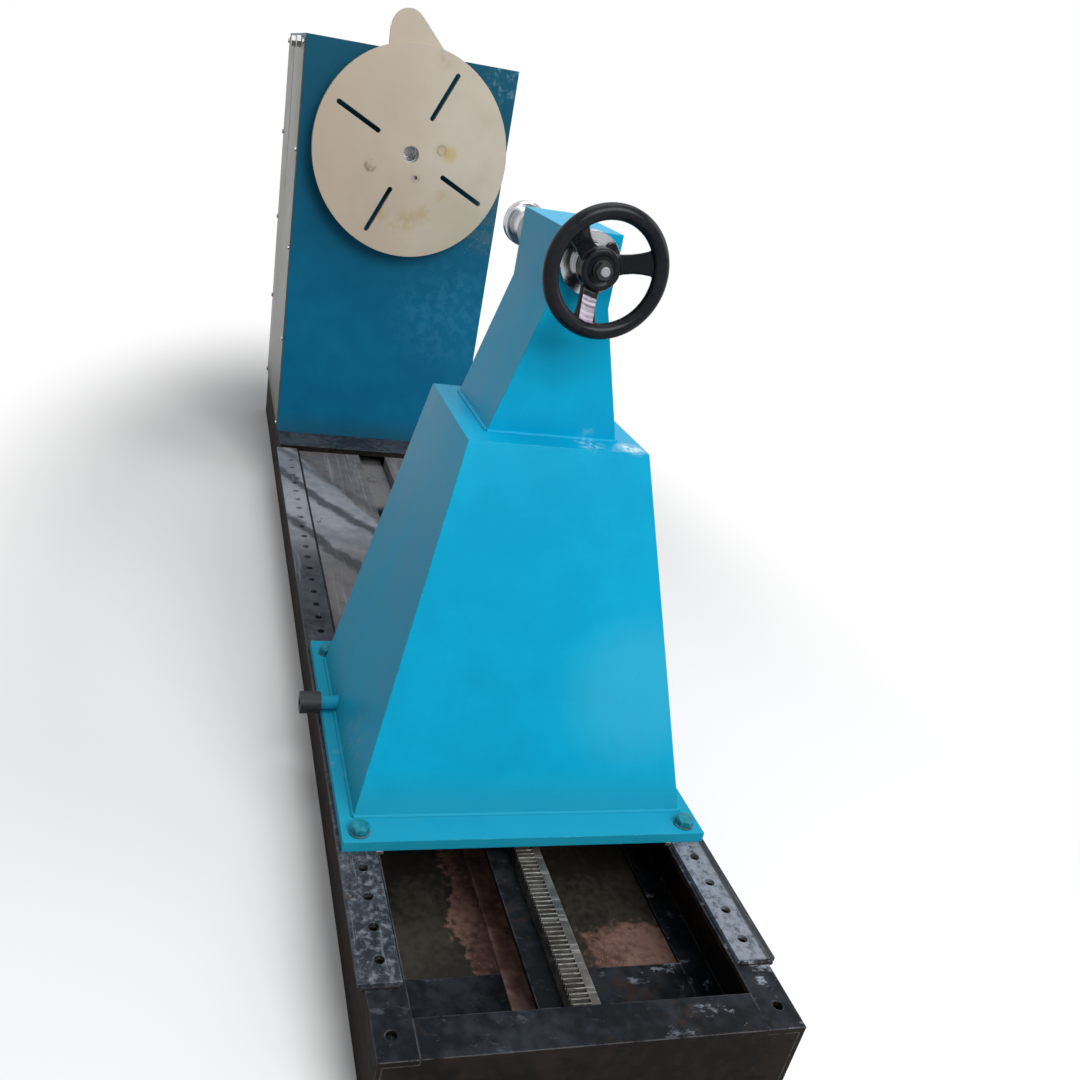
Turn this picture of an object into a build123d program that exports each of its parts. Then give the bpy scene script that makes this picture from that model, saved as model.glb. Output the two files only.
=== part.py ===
from build123d import *
import math
import os

os.makedirs("parts", exist_ok=True)

# Horizontal coil winding machine, in millimetres.
# +X runs along the bed to the tailstock end, +Z is up and -Y is the operator's side.
# The origin is on the floor, under the spindle axis, at the middle of the bed's length.

# ---------------------------------------------------------------- driving dimensions

# bed of welded channels
bed_length = 3200
bed_width = 650
bed_height = 150
side_flange = 60
end_flange = 68
web_thickness = 8
flange_thickness = 10
end_plate_reach = 187  # how far the bottom plates run in from the end beams
tie_width = 50
tie_thickness = 6
tie_back = (650, 1350, 2050, 2750)  # from the front of the bed to each tie
bottom_sheet = 3

# slide strips and their tapped holes
strip_width = 65
strip_thickness = 8
strip_overhang = 11  # past the outside of the beam
strip_front_gap = 125  # from the front of the bed to the strip's end
hole_pitch = 64
hole_row_inset = 26  # from the outside of the bed to the row of holes
tapped_hole_radius = 8.5
first_hole_back = 168  # first hole in the strip, from the front of the bed
corner_hole_back = 42  # the hole in the corner of the bed frame

# rack, its beam and its keeper bar
gear_module = 3
pressure_angle = 20
rack_teeth = 100  # in each of the two lengths
teeth_to_joint = 24  # from the pinion back to where the two lengths meet
rack_width = 30
rack_height = 30
rack_left = -22
rack_tip_drop = 6  # rack tooth tips below the top of the bed
keeper_width = 14
rack_beam_left = -63
mesh_backlash = 0.3
mesh_gap = 0.1

# deck plates over the bed between the headstock and the tailstock
deck_thickness = 4
deck_back = 740  # from the front of the bed to the deck's end
deck_edge_gap = 2

# headstock
base_plate_thickness = 18
base_plate_inset = 28  # from the rear of the bed
base_plate_apron = 130  # ahead of the cabinet
cabinet_inset = 13  # from the rear of the base plate
cabinet_depth = 700
cabinet_left = -329
cabinet_right = 311
cabinet_rise = 269  # above the spindle axis
sheet = 4
cabinet_border = 34
panel_sheet = 3
panel_seam = 1
panel_split_back = 406  # from the cabinet's front to where the two side panels meet
side_slot_width = 14
side_slot_drop = 200  # the slot's lower end, below the spindle axis
side_slot_rise = 246
strap_drop = 86
strap_height = 30
cabinet_hole_radius = 62
panel_margin = 12
air_slot_count = 8
air_slot_drop = 190
air_slot_pitch = 40
air_slot_length = 260
air_slot_height = 10
screw_rows = 5
screw_head_radius = 7
screw_head_height = 5
side_bolt_back = (143, 378)  # from the cabinet's front

# spindle and faceplate
spindle_height = 1090
spindle_radius = 40
faceplate_reach = 72  # from the cabinet's front to the plate's face
faceplate_radius = 295
faceplate_thickness = 20
faceplate_bore_radius = 24
slot_inner = 110
slot_outer = 260
slot_width = 14
slot_phase = 64  # degrees from +Y to the first slot
slot_count = 4
dowel_radius = 6
dowel_ring = 66
dowel_angle = -71
hub_radius = 95
hub_thickness = 28
hub_bolt_ring = 72
hub_bolt_count = 6
hub_bolt_radius = 8
hub_bolt_head_radius = 12
hub_bolt_head = 10
tongue_tip_radius = 51
tongue_tip_left = 45  # the centre of its round tip, left of the spindle axis
tongue_tip_rise = 326
tongue_left = 98
tongue_right = 64
tongue_root = 160
tongue_thickness = 8
front_bearing_back = 81  # behind the cabinet's front
rear_bearing_ahead = 199  # ahead of the cabinet's back
bearing_length = 70
bearing_outer = 70
bearing_ring_outer = 55
pedestal_half_width = 150
pedestal_plate = 20
pedestal_drop = 90
pedestal_overhang = 45
bearing_foot = 260
bearing_foot_height = 26
spindle_socket_radius = 20
spindle_socket_depth = 90
spindle_pulley_radius = 150
pulley_hub_radius = 62
pulley_web = 14
pulley_rim = 12
spindle_tail_ahead = 59
lock_nut_wall = 16
lock_nut_slot = 10
lock_nut_gap = 4  # spindle end standing out of the nut

# gearmotor and belt
motor_axis_rise = 162  # above the base plate
motor_radius = 88
motor_length = 240
motor_neck = 24
fin_count = 14
fin_pitch = 14
fin_height = 8
terminal_start = 60
terminal_length = 90
terminal_half_width = 45
terminal_height = 42
terminal_sink = 20
gearcase_ahead = 169
gearcase_length = 180
gearcase_half_width = 95
gearcase_chamfer = 14
foot_thickness = 16
foot_reach = 28
shaft_socket = 110
drive_pulley_radius = 60
pulley_width = 56
pulley_flange = 6
belt_width = 50
belt_thickness = 8
belt_gap = 0.3
belt_ahead = 109
output_shaft_radius = 20

# tailstock base and body
tail_front_back = 398  # from the front of the bed to the base plate's front edge
tail_length = 652
tail_plate_edge = 31  # outside the row of clamp bolts
tail_plate = 20
clamp_bolt_inset = 26
clamp_bolt_pitches = 9
clamp_bolt_radius = 10
washer_radius = 18.5
washer_thickness = 3
bolt_head_across = 30
bolt_head_height = 13
bolt_end_gap = 0.5
bolt_hole_gap = 1
guide_width = 12
guide_depth = 7.5
guide_gap = 0.3
body_wall = 6
body_foot_back = (578, 64)  # from the base plate's front edge to both ends of the body's foot
body_foot_inset = 25  # from the base plate's sides
body_top_back = (564, 251)
body_top_half = 160
body_top_drop = 290  # below the spindle axis
column_wall = 8
column_back = (527, 305)
column_half_width = 117
neck_half_width = 51
neck_drop = 68
column_rise = 46

# quill, screw and live centre; "back" is measured from the base plate's front edge
sleeve_radius = 38
sleeve_end_back = 597
quill_radius = 30
quill_nose_back = 662
quill_rear_back = 374
quill_bore = 14
nut_length = 40
nut_radius = 22
screw_radius = 12
screw_tip_back = 557
screw_chamfer = 2
keyway_width = 8
keyway_depth = 4
keyway_start = 40  # from the quill's nose
keyway_end_gap = 12  # from the quill's rear
key_back = 547
key_side_gap = 0.2
key_top_gap = 0.5
quill_tip_room = 64
flange_radius = 49
flange_thickness_x = 16
flange_boss_radius = 30
flange_boss_length = 14
flange_screw_ring = 39
flange_screw_radius = 4
flange_screw_head = 6
flange_screw_head_radius = 7
flange_screw_count = 4
thrust_collar_radius = 20
thrust_collar_length = 8
thrust_collar_gap = 0.5
screw_journal_radius = 10
centre_ring_radius = 40
centre_ring_back = 697
centre_ring_width = 22
centre_ring_chamfer = 3
centre_ring_step = 10
cone_radius = 22
cone_half_angle = 30
centre_shank_radius = 12.5
centre_shoulder = 4
centre_nose_gap = 3
bearing_ring_radius = 23.5
bearing_ring_length = 14
bearing_space = 6
running_gap = 0.05

# handwheel
wheel_plane_back = 216
wheel_radius = 100
rim_radius = 12.5
wheel_hub_radius = 32
wheel_hub_back = (273, 236)
hub_rear_taper = 10
hub_rear_step = 6
hub_front_chamfer = 2
wheel_thread_radius = 8
wheel_thread_length = 18
wheel_thread_chamfer = 1.5
wheel_washer_radius = 15
wheel_washer = 2.5
wheel_nut_across = 24
wheel_nut_height = 12
spoke_count = 3
spoke_phase = 16
spoke_root_width = 34
spoke_rim_width = 46
spoke_thickness = 12

# pinion that moves the tailstock along the rack
pinion_teeth = 34
pinion_back = 390  # from the base plate's front edge
pinion_shaft_radius = 10
pinion_tube_radius = 14
pinion_tube_reach = 3  # past the base plate's left side
pinion_tube_inner_end = -60
pinion_slot = 112
pinion_side_gap = 3
pinion_block_width = 26
pinion_block_gap = 4
pinion_block_wall = 12
flank_points = 4
collar_width = 12
collar_wall = 8
collar_gap = 0.5
crank_hub_radius = 22
crank_hub_length = 40
crank_hub_gap = 1
crank_square = 17

# ---------------------------------------------------------------- sizes worked out

front = bed_length / 2
half_bed = bed_width / 2
hole_row_y = half_bed - hole_row_inset
strip_outer = half_bed + strip_overhang
strip_inner = strip_outer - strip_width
strip_top = bed_height + strip_thickness
strip_front = front - strip_front_gap
flange_edge = half_bed - side_flange
tooth_pitch = math.pi * gear_module
pitch_radius = gear_module * pinion_teeth / 2
rack_tip = bed_height - rack_tip_drop
pitch_line = rack_tip - gear_module
rack_bottom = rack_tip - rack_height
rack_right = rack_left + rack_width
keeper_right = rack_right + keeper_width
pinion_z = pitch_line + pitch_radius + mesh_gap

base_plate_back = -front + base_plate_inset
cabinet_back = base_plate_back + cabinet_inset
cabinet_front = cabinet_back + cabinet_depth
base_plate_front = cabinet_front + base_plate_apron
cabinet_floor = bed_height + base_plate_thickness
cabinet_top = spindle_height + cabinet_rise
panel_split = cabinet_front - panel_split_back
motor_axis_height = cabinet_floor + motor_axis_rise
gearcase_rear = cabinet_back + gearcase_ahead
belt_x = cabinet_back + belt_ahead
spindle_tail = cabinet_back + spindle_tail_ahead
front_bearing_x = cabinet_front - front_bearing_back
rear_bearing_x = cabinet_back + rear_bearing_ahead
pedestal_top = spindle_height - pedestal_drop
faceplate_face = cabinet_front + faceplate_reach
faceplate_back = faceplate_face - faceplate_thickness
hub_back = faceplate_back - hub_thickness
deck_front = front - deck_back

tail_front = front - tail_front_back
tail_back = tail_front - tail_length
tail_half_width = hole_row_y + tail_plate_edge
pinion_tube_end = -tail_half_width - pinion_tube_reach
plate_top = strip_top + tail_plate
body_foot = [tail_front - back for back in body_foot_back]
body_foot_half = tail_half_width - body_foot_inset
body_top = [tail_front - back for back in body_top_back]
body_top_height = spindle_height - body_top_drop
column_x = [tail_front - back for back in column_back]
neck_height = spindle_height - neck_drop
column_top = spindle_height + column_rise
sleeve_end = tail_front - sleeve_end_back
quill_nose = tail_front - quill_nose_back
quill_rear = tail_front - quill_rear_back
screw_tip = tail_front - screw_tip_back
key_x = tail_front - key_back
centre_ring_face = tail_front - centre_ring_back
wheel_plane = tail_front - wheel_plane_back
wheel_hub = [tail_front - back for back in wheel_hub_back]
screw_end = wheel_hub[1] + wheel_thread_length
pinion_x = tail_front - pinion_back
block_start = rack_right + pinion_side_gap + pinion_block_gap
shaft_end = block_start + pinion_block_width
rack_start = pinion_x - tooth_pitch * (teeth_to_joint + rack_teeth)
rack_end = pinion_x + tooth_pitch * (rack_teeth - teeth_to_joint)


# ---------------------------------------------------------------- shape helpers

def block(x, y, z):
    """A box between two corners, given as a low and a high value on each axis."""
    size = Box(x[1] - x[0], y[1] - y[0], z[1] - z[0])
    return Pos((x[0] + x[1]) / 2, (y[0] + y[1]) / 2, (z[0] + z[1]) / 2) * size


def rod_x(x, y, z, radius):
    """A round bar along X between two X values."""
    return Pos((x[0] + x[1]) / 2, y, z) * Rot(0, 90, 0) * Cylinder(radius, x[1] - x[0])


def rod_y(x, y, z, radius):
    """A round bar along Y between two Y values."""
    return Pos(x, (y[0] + y[1]) / 2, z) * Rot(90, 0, 0) * Cylinder(radius, y[1] - y[0])


def rod_z(x, y, z, radius):
    """A round bar along Z between two Z values."""
    return Pos(x, y, (z[0] + z[1]) / 2) * Cylinder(radius, z[1] - z[0])


def hexagon_z(x, y, z, across):
    """A hexagon bar along Z, given its size across flats."""
    side = RegularPolygon(across / math.sqrt(3), 6)
    return Pos(x, y, z[0]) * extrude(side, z[1] - z[0])


def turned_x(profile, height):
    """A solid turned about the X axis at the given height, from (x, radius) points."""
    outline = make_face(Plane.XZ * Polyline(*profile, close=True))
    return Pos(0, 0, height) * revolve(outline, Axis.X)


def section_y(points, y):
    """A prism along Y from (x, z) points."""
    face = make_face(Plane.XZ * Polyline(*points, close=True))
    return Pos(0, y[0], 0) * extrude(face, y[1] - y[0], dir=(0, 1, 0))


def section_x(points, x):
    """A prism along X from (y, z) points."""
    face = make_face(Plane.YZ * Polyline(*points, close=True))
    return Pos(x[0], 0, 0) * extrude(face, x[1] - x[0], dir=(1, 0, 0))


def ring_places(count, radius, phase=0.0):
    """Points evenly round a circle in the YZ plane, as (y, z) offsets."""
    turns = [math.radians(phase + 360 * k / count) for k in range(count)]
    return [(radius * math.cos(t), radius * math.sin(t)) for t in turns]


def write(name, *solids):
    """Writes one sub-part: a single solid, or a group of separate ones."""
    shape = solids[0] if len(solids) == 1 else Compound(children=list(solids))
    export_step(shape, f"parts/{name}.step")


# ---------------------------------------------------------------- bed

def side_beam(side):
    """A channel with its web outside and its flanges facing the middle of the bed."""
    outer = side * half_bed
    inner = side * flange_edge
    web = side * (half_bed - web_thickness)
    whole = block((-front, front), sorted((outer, inner)), (0, bed_height))
    hollow_z = (flange_thickness, bed_height - flange_thickness)
    beam = whole - block((-front, front), sorted((web, inner)), hollow_z)
    for x in strip_holes() + [front - corner_hole_back]:
        beam -= rod_z(x, side * hole_row_y, (hollow_z[1], bed_height), tapped_hole_radius)
    return beam


def strip_holes():
    """X places of the tapped holes along one strip."""
    first = front - first_hole_back
    count = int((first - base_plate_front) / hole_pitch)
    return [first - hole_pitch * k for k in range(count)]


def slide_strip(side):
    """The machined bar on a side beam that the tailstock slides on."""
    y = sorted((side * strip_inner, side * strip_outer))
    strip = block((base_plate_front, strip_front), y, (bed_height, strip_top))
    for x in strip_holes():
        strip -= rod_z(x, side * hole_row_y, (bed_height, strip_top), tapped_hole_radius)
    return strip


def end_beam(end):
    """The cross channel that closes one end of the bed, cut in between the side beams."""
    inner = end * (front - end_flange)
    y = (-flange_edge, flange_edge)
    whole = block(sorted((end * front, inner)), y, (0, bed_height))
    hollow_z = (flange_thickness, bed_height - flange_thickness)
    hollow = block(sorted((end * (front - web_thickness), inner)), y, hollow_z)
    cover_y = (flange_edge, half_bed - web_thickness)
    cover_x = sorted((end * front, end * (front - web_thickness)))
    covers = [block(cover_x, sorted((s * cover_y[0], s * cover_y[1])), hollow_z) for s in (-1, 1)]
    return whole - hollow + covers[0] + covers[1]


def tie(x, y):
    """A cross channel, open to the rear, between the beams."""
    z = (flange_thickness, rack_bottom - flange_thickness)
    whole = block((x - tie_width, x), y, z)
    hollow_z = (z[0] + tie_thickness, z[1] - tie_thickness)
    return whole - block((x - tie_width, x - tie_thickness), y, hollow_z)


def cross_ties():
    """The ties on both sides of the rack beam, and the bottom plates at the two ends."""
    web_inside = half_bed - web_thickness
    parts = []
    for back in tie_back:
        x = front - back
        parts.append(tie(x, (-web_inside, keeper_right - web_thickness)))
        parts.append(tie(x, (keeper_right, web_inside)))
    for end in (-1, 1):
        reach = sorted((end * (front - end_flange - end_plate_reach), end * (front - end_flange)))
        parts.append(block(reach, (-flange_edge, rack_beam_left), (0, flange_thickness)))
        parts.append(block(reach, (keeper_right, flange_edge), (0, flange_thickness)))
    return parts


def bottom_sheets():
    """The two thin sheets that close the bed from below, between the end plates."""
    reach = front - end_flange - end_plate_reach
    sheets = []
    for y in ((-flange_edge, rack_beam_left), (keeper_right, flange_edge)):
        sheets.append(block((-reach, reach), y, (0, bottom_sheet)))
    return sheets


def rack_beam():
    """The middle channel, with its web under the keeper bar and its flanges to the left."""
    x = (-(front - end_flange), front - end_flange)
    whole = block(x, (rack_beam_left, keeper_right), (0, rack_bottom))
    hollow_y = (rack_beam_left, keeper_right - web_thickness)
    return whole - block(x, hollow_y, (flange_thickness, rack_bottom - flange_thickness))


def rack_length(first_tooth):
    """One length of rack, from a tooth counted from the pinion. Its ends are in tooth gaps."""
    half_tooth = tooth_pitch / 4 - mesh_backlash / 4
    slope = math.tan(math.radians(pressure_angle))
    tip_half = half_tooth - gear_module * slope
    root_half = half_tooth + 1.25 * gear_module * slope
    root_z = pitch_line - 1.25 * gear_module
    start = pinion_x + tooth_pitch * first_tooth
    points = [(start, rack_bottom), (start, root_z)]
    for k in range(rack_teeth):
        centre = start + tooth_pitch * (k + 0.5)
        points += [(centre - root_half, root_z), (centre - tip_half, rack_tip)]
        points += [(centre + tip_half, rack_tip), (centre + root_half, root_z)]
    end = start + tooth_pitch * rack_teeth
    points += [(end, root_z), (end, rack_bottom)]
    return section_y(points, (rack_left, rack_right))


def keeper_bar():
    """The plain bar beside the rack that it is clamped against."""
    x = (rack_start, rack_end)
    return block(x, (rack_right, keeper_right), (rack_bottom, rack_tip))


def deck_plate(y):
    """A folded cover between the beams: a tray upside down, standing on the cross ties."""
    x = (base_plate_front, deck_front)
    tie_top = rack_bottom - flange_thickness
    tray = block(x, y, (tie_top, bed_height))
    inside_y = (y[0] + deck_thickness, y[1] - deck_thickness)
    return tray - block(x, inside_y, (tie_top, bed_height - deck_thickness))


write("bed_side_beam_left", side_beam(-1))
write("bed_side_beam_right", side_beam(1))
write("bed_end_beam_front", end_beam(1))
write("bed_end_beam_rear", end_beam(-1))
write("bed_cross_ties", *cross_ties())
write("bed_bottom_sheets", *bottom_sheets())
write("rack_beam", rack_beam())
write("slide_strip_left", slide_strip(-1))
write("slide_strip_right", slide_strip(1))
write("gear_rack_front", rack_length(-teeth_to_joint))
write("gear_rack_rear", rack_length(-teeth_to_joint - rack_teeth))
write("rack_keeper_bar", keeper_bar())
write("deck_plate_left", deck_plate((-flange_edge + deck_edge_gap, rack_beam_left - deck_edge_gap)))
write("deck_plate_right", deck_plate((keeper_right + deck_edge_gap, flange_edge - deck_edge_gap)))


# ---------------------------------------------------------------- headstock

def cabinet():
    """The sheet cabinet: a box with windows on the left, at the rear and in the floor."""
    x = (cabinet_back, cabinet_front)
    y = (cabinet_left, cabinet_right)
    z = (cabinet_floor, cabinet_top)
    box = block(x, y, z)
    box -= block(inset(x, sheet), inset(y, sheet), inset(z, sheet))
    window_x = inset(x, cabinet_border)
    window_z = inset(z, cabinet_border)
    box -= block(window_x, (y[0], y[0] + sheet), window_z)
    box -= block((x[0], x[0] + sheet), inset(y, cabinet_border), window_z)
    box -= block(window_x, inset(y, cabinet_border), (z[0], z[0] + sheet))
    strap_y = (y[0] + sheet, y[0] + 2 * sheet)
    strap_z = spindle_height - strap_drop
    box += block(inset(x, sheet), strap_y, (strap_z - strap_height / 2, strap_z + strap_height / 2))
    return box - rod_x((x[1] - sheet, x[1]), 0, spindle_height, cabinet_hole_radius)


def inset(span, amount):
    """A span made shorter by the same amount at both ends."""
    return (span[0] + amount, span[1] - amount)


def side_panel(x):
    """One of the two sheets that cover the cabinet's left window, with half of the slot."""
    y = (cabinet_left - panel_sheet, cabinet_left)
    z = inset((cabinet_floor, cabinet_top), panel_margin)
    panel = block(x, y, z)
    slot_x = (panel_split - side_slot_width / 2, panel_split + side_slot_width / 2)
    return panel - block(slot_x, y, (spindle_height - side_slot_drop, spindle_height + side_slot_rise))


def rear_panel():
    """The sheet over the rear window, with rows of air slots."""
    x = (cabinet_back - panel_sheet, cabinet_back)
    y = inset((cabinet_left, cabinet_right), panel_margin)
    z = inset((cabinet_floor, cabinet_top), panel_margin)
    panel = block(x, y, z)
    middle = (cabinet_left + cabinet_right) / 2
    for k in range(air_slot_count):
        low = spindle_height - air_slot_drop + air_slot_pitch * k
        slot_y = (middle - air_slot_length / 2, middle + air_slot_length / 2)
        panel -= block(x, slot_y, (low, low + air_slot_height))
    return panel


def panel_screws():
    """Hexagon screws round the side and rear panels, each with its shank through the sheets."""
    screws = []
    low = cabinet_floor + cabinet_border / 2 + panel_margin / 2
    high = cabinet_top - cabinet_border / 2 - panel_margin / 2
    edge = cabinet_border / 2 + panel_margin / 2
    face = cabinet_left - panel_sheet
    for x in (cabinet_front - edge, cabinet_back + edge):
        for k in range(screw_rows):
            z = low + (high - low) * k / (screw_rows - 1)
            head = rod_y(x, (face - screw_head_height, face), z, screw_head_radius)
            screws.append(head)
    back = cabinet_back - panel_sheet
    for y in (cabinet_left + edge, cabinet_right - edge):
        for k in range(screw_rows):
            z = low + (high - low) * k / (screw_rows - 1)
            screws.append(rod_x((back - screw_head_height, back), y, z, screw_head_radius))
    return screws


def lifting_bolts():
    """The two hexagon bolts at the top of the side panels."""
    face = cabinet_left - panel_sheet
    side = RegularPolygon(bolt_head_across / math.sqrt(3), 6)
    head = Pos(0, face, 0) * Rot(90, 0, 0) * extrude(side, bolt_head_height)
    height = cabinet_top - cabinet_border / 2 - panel_margin / 2
    return [Pos(cabinet_front - back, 0, height) * head for back in side_bolt_back]


def headstock_base():
    """The thick plate between the bed and everything in the headstock."""
    x = (base_plate_back, base_plate_front)
    return block(x, (-half_bed, half_bed), (bed_height, cabinet_floor))


def pedestal():
    """The welded stand inside the cabinet: two walls and a top that carry the bearings."""
    x = (rear_bearing_x - pedestal_overhang, front_bearing_x + pedestal_overhang)
    top = (pedestal_top - pedestal_plate, pedestal_top)
    stand = block(x, (-pedestal_half_width, pedestal_half_width), top)
    for side in (-1, 1):
        wall = sorted((side * pedestal_half_width, side * (pedestal_half_width - pedestal_plate)))
        stand += block(x, wall, (cabinet_floor, top[0]))
    return stand


def bearing_block(x):
    """A pillow block: a round housing on a foot, bored for the spindle."""
    span = (x - bearing_length / 2, x + bearing_length / 2)
    housing = rod_x(span, 0, spindle_height, bearing_outer)
    neck = block(span, (-bearing_outer, bearing_outer), (pedestal_top, spindle_height))
    foot_y = (-bearing_foot / 2, bearing_foot / 2)
    foot = block(span, foot_y, (pedestal_top, pedestal_top + bearing_foot_height))
    return housing + neck + foot - rod_x(span, 0, spindle_height, bearing_ring_outer)


def bearing_rings():
    """The two ball bearings of the spindle, each as one ring pressed into its block."""
    rings = []
    for x in (front_bearing_x, rear_bearing_x):
        span = (x - bearing_length / 2, x + bearing_length / 2)
        ring = rod_x(span, 0, spindle_height, bearing_ring_outer)
        rings.append(ring - rod_x(span, 0, spindle_height, spindle_radius + running_gap))
    return rings


def gearmotor():
    """The foot-mounted gearmotor: a gearcase with feet, and the finned motor on its front."""
    rear = gearcase_rear
    front_face = rear + gearcase_length
    case_z = (cabinet_floor + foot_thickness, motor_axis_height + gearcase_half_width)
    case = block((rear, front_face), (-gearcase_half_width, gearcase_half_width), case_z)
    case = chamfer(case.edges().filter_by(Axis.X), gearcase_chamfer)
    foot_y = inset((-gearcase_half_width, gearcase_half_width), -foot_reach)
    feet = block((rear, front_face), foot_y, (cabinet_floor, cabinet_floor + foot_thickness))
    fins = [(front_face, 0), (front_face, motor_radius + fin_height)]
    fins += [(front_face + motor_neck, motor_radius + fin_height)]
    x = front_face + motor_neck
    for k in range(fin_count):
        tip = x + fin_pitch / 2
        fins += [(x, motor_radius), (tip, motor_radius), (tip, motor_radius + fin_height)]
        x += fin_pitch
        fins.append((x, motor_radius + fin_height))
    end = front_face + motor_length
    fins += [(end, motor_radius + fin_height), (end, 0)]
    motor = turned_x(fins, motor_axis_height)
    top = motor_axis_height + motor_radius
    terminal_x = (front_face + terminal_start, front_face + terminal_start + terminal_length)
    terminal_z = (top - terminal_sink, top + terminal_height)
    terminal = block(terminal_x, (-terminal_half_width, terminal_half_width), terminal_z)
    shape = case + feet + motor + terminal
    socket_x = (rear, rear + shaft_socket)
    return shape - rod_x(socket_x, 0, motor_axis_height, output_shaft_radius + running_gap)


def drive_belt():
    """The flat belt round both pulleys, as a band between two outlines."""
    inner = belt_outline(belt_gap)
    outer = belt_outline(belt_gap + belt_thickness)
    return Pos(belt_x - belt_width / 2, 0, 0) * extrude(outer - inner, belt_width)


def belt_outline(offset):
    """The outline of a tight band round the two pulleys, larger than them by the offset."""
    high = Pos(0, spindle_height) * Circle(spindle_pulley_radius + offset)
    low = Pos(0, motor_axis_height) * Circle(drive_pulley_radius + offset)
    drop = spindle_height - motor_axis_height
    lean = math.asin((spindle_pulley_radius - drive_pulley_radius) / drop)
    big = spindle_pulley_radius + offset
    small = drive_pulley_radius + offset
    corners = [(big * math.cos(lean), spindle_height - big * math.sin(lean))]
    corners.append((small * math.cos(lean), motor_axis_height - small * math.sin(lean)))
    mirrored = [(-y, z) for y, z in reversed(corners)]
    sides = make_face(Polyline(*corners, *mirrored, close=True))
    return Plane.YZ * (high + low + sides)


write("headstock_base_plate", headstock_base())
write("headstock_cabinet", cabinet())
write("headstock_side_panel_front", side_panel((panel_split, cabinet_front - panel_margin)))
write("headstock_side_panel_rear", side_panel((cabinet_back + panel_margin, panel_split - panel_seam)))
write("headstock_rear_panel", rear_panel())
write("headstock_panel_screws", *panel_screws())
write("headstock_side_bolts", *lifting_bolts())
write("spindle_pedestal", pedestal())
write("spindle_bearing_front", bearing_block(front_bearing_x))
write("spindle_bearing_rear", bearing_block(rear_bearing_x))
write("spindle_bearing_rings", *bearing_rings())
write("gearmotor", gearmotor())
write("drive_belt", drive_belt())


# ---------------------------------------------------------------- spindle

def main_spindle():
    """The spindle: a bar with a flange behind the faceplate and a thread for the tail nut."""
    profile = [(spindle_tail, 0), (spindle_tail, spindle_radius), (hub_back, spindle_radius)]
    profile += [(hub_back, hub_radius), (faceplate_back, hub_radius), (faceplate_back, 0)]
    spindle = turned_x(profile, spindle_height)
    socket_x = (faceplate_back - spindle_socket_depth, faceplate_back)
    spindle -= rod_x(socket_x, 0, spindle_height, spindle_socket_radius)
    for y, z in hub_bolt_places():
        spindle -= rod_x((hub_back, faceplate_back), y, z, hub_bolt_radius)
    return spindle


def hub_bolt_places():
    """Y and Z of the bolts in the spindle's flange, half a step round from +Y."""
    ring = ring_places(hub_bolt_count, hub_bolt_ring, 180 / hub_bolt_count)
    return [(y, spindle_height + z) for y, z in ring]


def faceplate():
    """The round plate that drives the winding: a bore, a dowel hole and four radial slots."""
    x = (faceplate_back, faceplate_face)
    plate = rod_x(x, 0, spindle_height, faceplate_radius)
    plate -= rod_x(x, 0, spindle_height, faceplate_bore_radius)
    dowel_y, dowel_z = ring_places(1, dowel_ring, dowel_angle)[0]
    plate -= rod_x(x, dowel_y, spindle_height + dowel_z, dowel_radius)
    middle = (slot_inner + slot_outer) / 2
    for k in range(slot_count):
        slot = Pos(middle, 0) * SlotOverall(slot_outer - slot_inner, slot_width)
        turn = Rot(0, 0, slot_phase + 360 * k / slot_count)
        cutter = extrude(Plane.YZ * turn * slot, faceplate_thickness)
        plate -= Pos(faceplate_back, 0, spindle_height) * cutter
    return plate


def tongue():
    """The plate on the faceplate's back that stands out past its rim with a round tip.

    Its left side is upright and its right side falls away from the tip at 45 degrees.
    """
    reach = tongue_tip_radius / math.sqrt(2)
    slope_start = (reach - tongue_tip_left, tongue_tip_rise + reach)
    slope_end = (tongue_right, slope_start[1] - (tongue_right - slope_start[0]))
    outline = [(-tongue_left, tongue_root), (-tongue_left, tongue_tip_rise)]
    outline += [slope_start, slope_end, (tongue_right, tongue_root)]
    tip = Pos(-tongue_tip_left, tongue_tip_rise) * Circle(tongue_tip_radius)
    shape = Plane.YZ * (make_face(Polyline(*outline, close=True)) + tip)
    return Pos(faceplate_back - tongue_thickness, 0, spindle_height) * extrude(shape, tongue_thickness)


def spindle_pulley():
    """The large belt pulley: a rim with two flanges, a thin web and a hub on the spindle."""
    rim = spindle_pulley_radius
    lip = rim + belt_thickness
    inside = rim - pulley_rim
    low = belt_x - pulley_width / 2
    high = belt_x + pulley_width / 2
    web = (belt_x - pulley_web / 2, belt_x + pulley_web / 2)
    profile = [(low, spindle_radius), (low, pulley_hub_radius), (web[0], pulley_hub_radius)]
    profile += [(web[0], inside), (low - pulley_flange, inside), (low - pulley_flange, lip)]
    profile += [(low, lip), (low, rim), (high, rim), (high, lip), (high + pulley_flange, lip)]
    profile += [(high + pulley_flange, inside), (web[1], inside), (web[1], pulley_hub_radius)]
    profile += [(high, pulley_hub_radius), (high, spindle_radius)]
    return turned_x(profile, spindle_height)


def spindle_nut():
    """The slotted lock nut behind the pulley, bearing on its hub."""
    x = (spindle_tail + lock_nut_gap, belt_x - pulley_width / 2)
    outer = spindle_radius + lock_nut_wall
    nut = rod_x(x, 0, spindle_height, outer) - rod_x(x, 0, spindle_height, spindle_radius)
    half = lock_nut_slot / 2
    for y, z in ring_places(4, outer):
        slot_z = (spindle_height + z - half, spindle_height + z + half)
        nut -= block(x, (y - half, y + half), slot_z)
    return nut


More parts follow.
